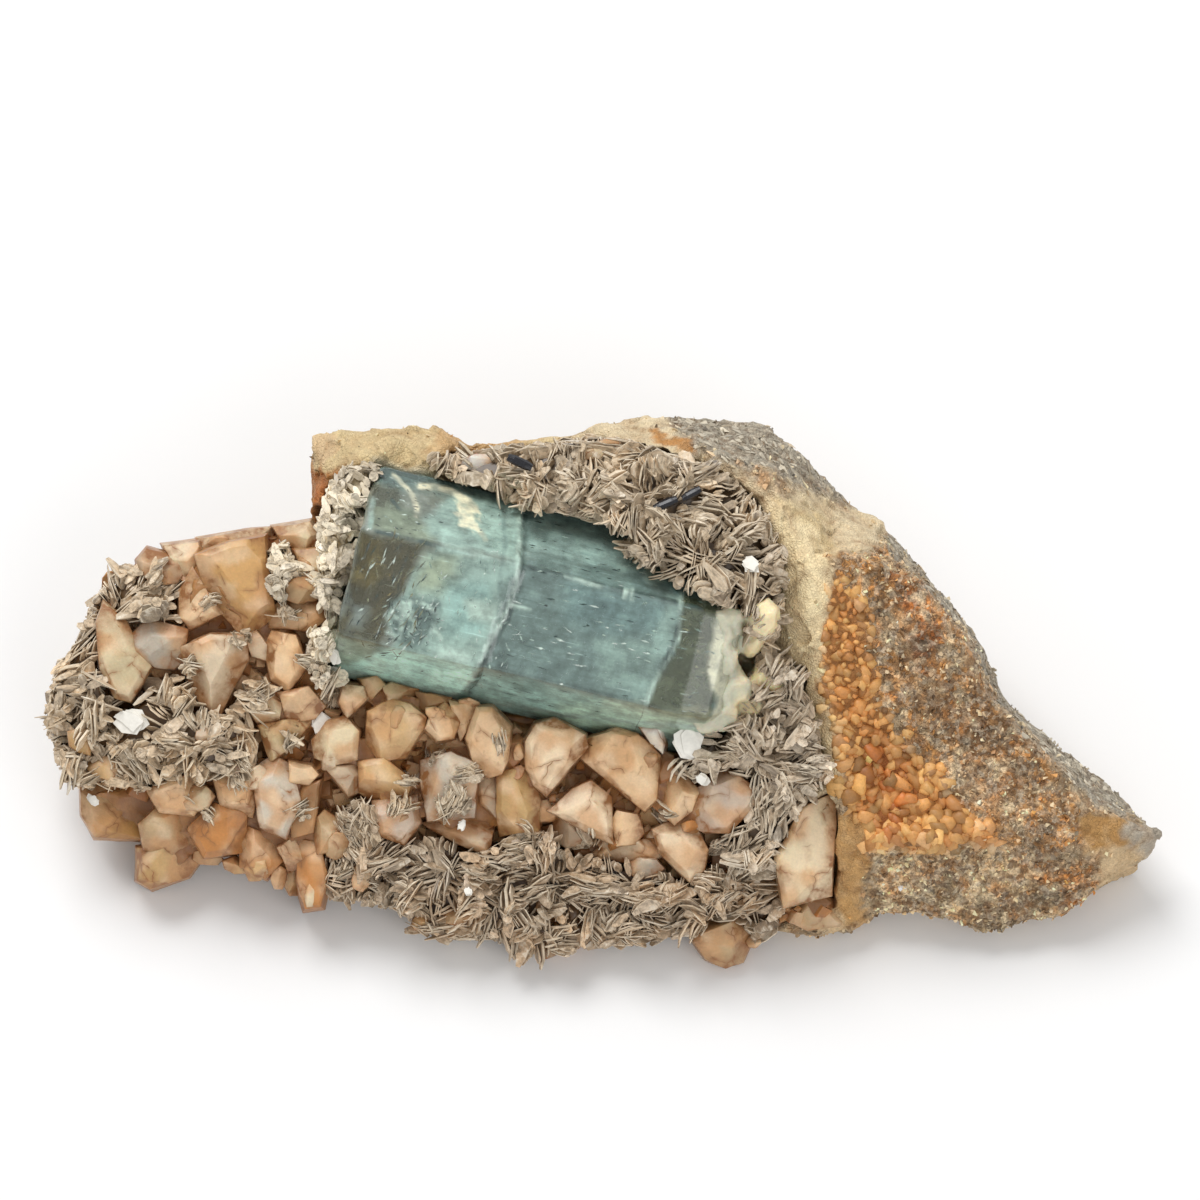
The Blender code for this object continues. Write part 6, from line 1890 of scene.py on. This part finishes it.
def rock_finish(speckle, grain, stain):
    """Granular rock: pale and dark grains where it is rough, with iron stain in the cracks."""
    made, tree, shader, tone, relief = finish_of("broken_pegmatite", roughness=0.72)
    rough = node(tree, "ShaderNodeAttribute", attribute_name="grainy").outputs["Fac"]
    grains = speckled(tree, speckle, tone, (0.9, 0.16))
    for scale, amount, tint in ((1.7, 0.6, (0.66, 0.56, 0.42, 1.0)),
                                (2.6, 0.7, (0.13, 0.075, 0.04, 1.0))):
        grains = use(tree, grain, {"Colour": grains["Colour"], "Scale": scale, "Tint": tint,
                                   "Amount": maths(tree, "MULTIPLY", rough, amount)})
    contrast = maths(tree, "ADD", maths(tree, "MULTIPLY", rough, 0.35), 0.16)
    fine = speckled(tree, speckle, grains["Colour"], (3.4, contrast))
    # Iron stain and painted shade in the rock's low places, by the mask.
    stained = use(tree, stain, {
        "Colour": fine["Colour"], "Stain And Shade": ramp(tree, relief, 0.55, 1.0, 0.0, 0.45),
        "Crack Scale": 0.2, "Crack Amount": 0.65, "Stain": (0.36, 0.20, 0.09, 1.0)})
    tree.links.new(stained["Colour"], shader.inputs["Base Color"])
    height = maths(tree, "ADD", maths(tree, "MULTIPLY", grains["Height"], 0.5), fine["Height"])
    bumped(tree, shader, height, strength=0.9, distance=0.2)
    return made


def feldspar_finish(speckle, stain):
    """Waxy feldspar, cloudy inside, with stained cracks, and iron stain and painted shade in the
    crevices.
    """
    made, tree, shader, tone, stain_and_shade = finish_of("waxy_feldspar", roughness=0.42, plain={
        "Subsurface Weight": 0.1, "Subsurface Scale": 0.0009, "Coat Weight": 0.08,
        "Coat Roughness": 0.25})
    fine = speckled(tree, speckle, tone, (0.45, 0.10), (4.0, 0.07))
    stained = use(tree, stain, {
        "Colour": fine["Colour"], "Stain And Shade": stain_and_shade, "Crack Scale": 0.3, "Crack Amount": 1.0,
        "Stain": (0.31, 0.135, 0.048, 1.0)})
    tree.links.new(stained["Colour"], shader.inputs["Base Color"])
    sunk = maths(tree, "MULTIPLY", stained["Mask"], 0.6)
    bumped(tree, shader, maths(tree, "SUBTRACT", fine["Height"], sunk), strength=0.5,
           distance=0.08)
    return made


def mica_finish(speckle):
    """Pearly mica with pale edges, and fine light and dark layers on them."""
    made, tree, shader, tone, edge = finish_of("pearly_muscovite", roughness=0.38, plain={
        "Coat Weight": 0.12, "Coat Roughness": 0.2})
    place = node(tree, "ShaderNodeAttribute", attribute_name="layers").outputs["Vector"]
    layers = noise_at(tree, place, 1.0, 4.0, 0.7)
    pale = mixed(tree, maths(tree, "MULTIPLY", edge, 0.75), tone, (*rgb("mica_edge"), 1.0))
    dark = maths(tree, "MULTIPLY", ramp(tree, layers, 0.52, 0.36), 0.72)
    lined = mixed(tree, dark, pale, (0.10, 0.07, 0.045, 1.0))
    light = maths(tree, "MULTIPLY", ramp(tree, layers, 0.53, 0.65), 0.7)
    lined = mixed(tree, light, lined, (0.88, 0.80, 0.66, 1.0))
    fine = speckled(tree, speckle, lined, (2.4, 0.18))
    tree.links.new(fine["Colour"], shader.inputs["Base Color"])
    bumped(tree, shader, layers, strength=0.6, distance=0.08)
    return made


def milk_finish(speckle, streaks):
    """The milky layers inside the crystal, clearer where the paint says so."""
    made, tree, shader, tone, milk = finish_of("milky_beryl", roughness=0.35)
    cloudy = speckled(tree, speckle, tone, (0.6, 0.12))
    lined = use(tree, streaks, {"Colour": cloudy["Colour"], "Scale": 1.9, "Contrast": 0.14})
    fine = speckled(tree, speckle, lined["Colour"], (3.2, 0.10))
    tree.links.new(fine["Colour"], shader.inputs["Base Color"])
    wisps = ramp(tree, cloudy["Height"], 0.3, 0.7, 0.72, 1.28)
    tree.links.new(maths(tree, "MULTIPLY", milk, wisps), shader.inputs["Alpha"])
    return made


def veil_finish(speckle):
    """Wispy healed fractures and slivers."""
    made, tree, shader, tone, fade = finish_of("healed_fracture", roughness=0.15)
    fine = speckled(tree, speckle, tone, (1.6, 0.15))
    tree.links.new(fine["Colour"], shader.inputs["Base Color"])
    wisps = ramp(tree, fine["Height"], 0.35, 0.7, 0.2, 1.3)
    tree.links.new(maths(tree, "MULTIPLY", fade, wisps), shader.inputs["Alpha"])
    return made


def aquamarine_glass(speckle, streaks):
    """Clear blue-green crystal: transmission, refraction and absorption, with striations."""
    made, tree, shader, tone, _ = finish_of("aquamarine_crystal", roughness=0.06, plain={
        "Transmission Weight": 1.0, "IOR": 1.57})
    tinted = speckled(tree, speckle, tone, (0.7, 0.04))
    tree.links.new(tinted["Colour"], shader.inputs["Base Color"])
    lines = use(tree, streaks, {"Colour": tone, "Scale": 2.2})["Height"]
    pits = ramp(tree, noise_at(tree, millimetres(tree), 1.6, 3.0), 0.30, 0.42)
    height = maths(tree, "ADD", lines, maths(tree, "MULTIPLY", pits, 0.5))
    bumped(tree, shader, height, strength=0.5, distance=0.04)
    path = node(tree, "ShaderNodeLightPath").outputs["Is Shadow Ray"]
    passing = node(tree, "ShaderNodeBsdfTransparent", {"Color": (0.95, 0.99, 0.98, 1.0)})
    both = node(tree, "ShaderNodeMixShader", {0: path, 1: shader.outputs[0],
                                              2: passing.outputs[0]})
    output = tree.nodes["Material Output"]
    tree.links.new(both.outputs[0], output.inputs["Surface"])
    absorbing = node(tree, "ShaderNodeVolumeAbsorption", {
        "Color": (0.55, 0.86, 0.84, 1.0), "Density": 20.0,
    })
    tree.links.new(absorbing.outputs[0], output.inputs["Volume"])
    return made


# Floor, light and camera.


def make_floor():
    """The pale ground that the specimen lies on."""
    mesh = bpy.data.meshes.new("floor")
    half = FLOOR_HALF
    mesh.from_pydata([(-half, -half, 0), (half, -half, 0), (half, half, 0), (-half, half, 0)],
                     [], [(0, 1, 2, 3)])
    floor = bpy.data.objects.new("floor", mesh)
    show(floor)
    paper = bpy.data.materials.new("pale_paper")
    paper.use_nodes = True
    tree = paper.node_tree
    shader = tree.nodes["Principled BSDF"]
    cloud = node(tree, "ShaderNodeTexNoise", {"Scale": 3.0, "Detail": 2.0}).outputs[0]
    tone = mixed(tree, cloud, (0.90, 0.90, 0.90, 1.0), (0.93, 0.93, 0.93, 1.0))
    tree.links.new(tone, shader.inputs["Base Color"])
    shader.inputs["Roughness"].default_value = 0.9
    mesh.materials.append(paper)


def make_light(name, place, size, watts):
    """A round soft light that faces the specimen."""
    data = bpy.data.lights.new(name, "AREA")
    data.shape = "DISK"
    data.size = size
    data.energy = watts
    lamp = bpy.data.objects.new(name, data)
    lamp.location = place
    lamp.rotation_euler = (-Vector(place)).to_track_quat("-Z", "Y").to_euler()
    show(lamp)


def make_lights():
    """Two soft lights and a white sky."""
    make_light("soft_key", (-0.35, 0.55, 0.95), size=0.7, watts=8.4)
    make_light("front_fill", (0.5, -0.9, 0.9), size=0.9, watts=3.3)
    world = bpy.data.worlds.new("studio")
    world.use_nodes = True
    sky = world.node_tree.nodes["Background"]
    sky.inputs["Color"].default_value = (1.0, 1.0, 1.0, 1.0)
    sky.inputs["Strength"].default_value = SKY_STRENGTH
    bpy.context.scene.world = world
    bpy.context.scene.view_settings.view_transform = "Standard"


def make_camera():
    """A distant camera that looks straight at the display face."""
    data = bpy.data.cameras.new("camera")
    data.sensor_width = SENSOR
    data.lens = SENSOR * VIEW_DISTANCE / VIEW_WIDTH
    data.clip_start, data.clip_end = 0.05, 20.0
    camera = bpy.data.objects.new("camera", data)
    u, v, w = VIEW_CENTRE
    camera.location = to_world([(u, v, w + VIEW_DISTANCE)])[0]
    looking = Vector(to_world([(u, v, w)])[0] - to_world([(u, v, w + 1000.0)])[0])
    camera.rotation_euler = looking.to_track_quat("-Z", "Y").to_euler()
    show(camera)
    bpy.context.scene.camera = camera


def build():
    """Makes every piece, the ground, the light and the camera."""
    finishes = make_materials()
    form = make_rock(finishes["broken_pegmatite"])
    make_sugar_crystals(form, finishes["mineral_grain"])
    make_schist_flakes(form, finishes["mineral_grain"])
    make_rock_grit(form, finishes["mineral_grain"])
    make_feldspar(finishes["waxy_feldspar"])
    make_feldspar_chips(finishes["waxy_feldspar"])
    for seed, (name, row) in enumerate(MICA_MASSES.items()):
        make_mica(name, *row, finishes["pearly_muscovite"], 100 + 20 * seed)
    make_stray_books(finishes["pearly_muscovite"])
    make_silver_flakes(finishes["silver_mica"])
    make_aquamarine(finishes["aquamarine_crystal"], finishes["milky_beryl"],
                    finishes["healed_fracture"])
    make_end_lumps(finishes["milky_end"])
    make_needles(finishes["black_tourmaline"])
    make_floor()
    make_lights()
    make_camera()


build()
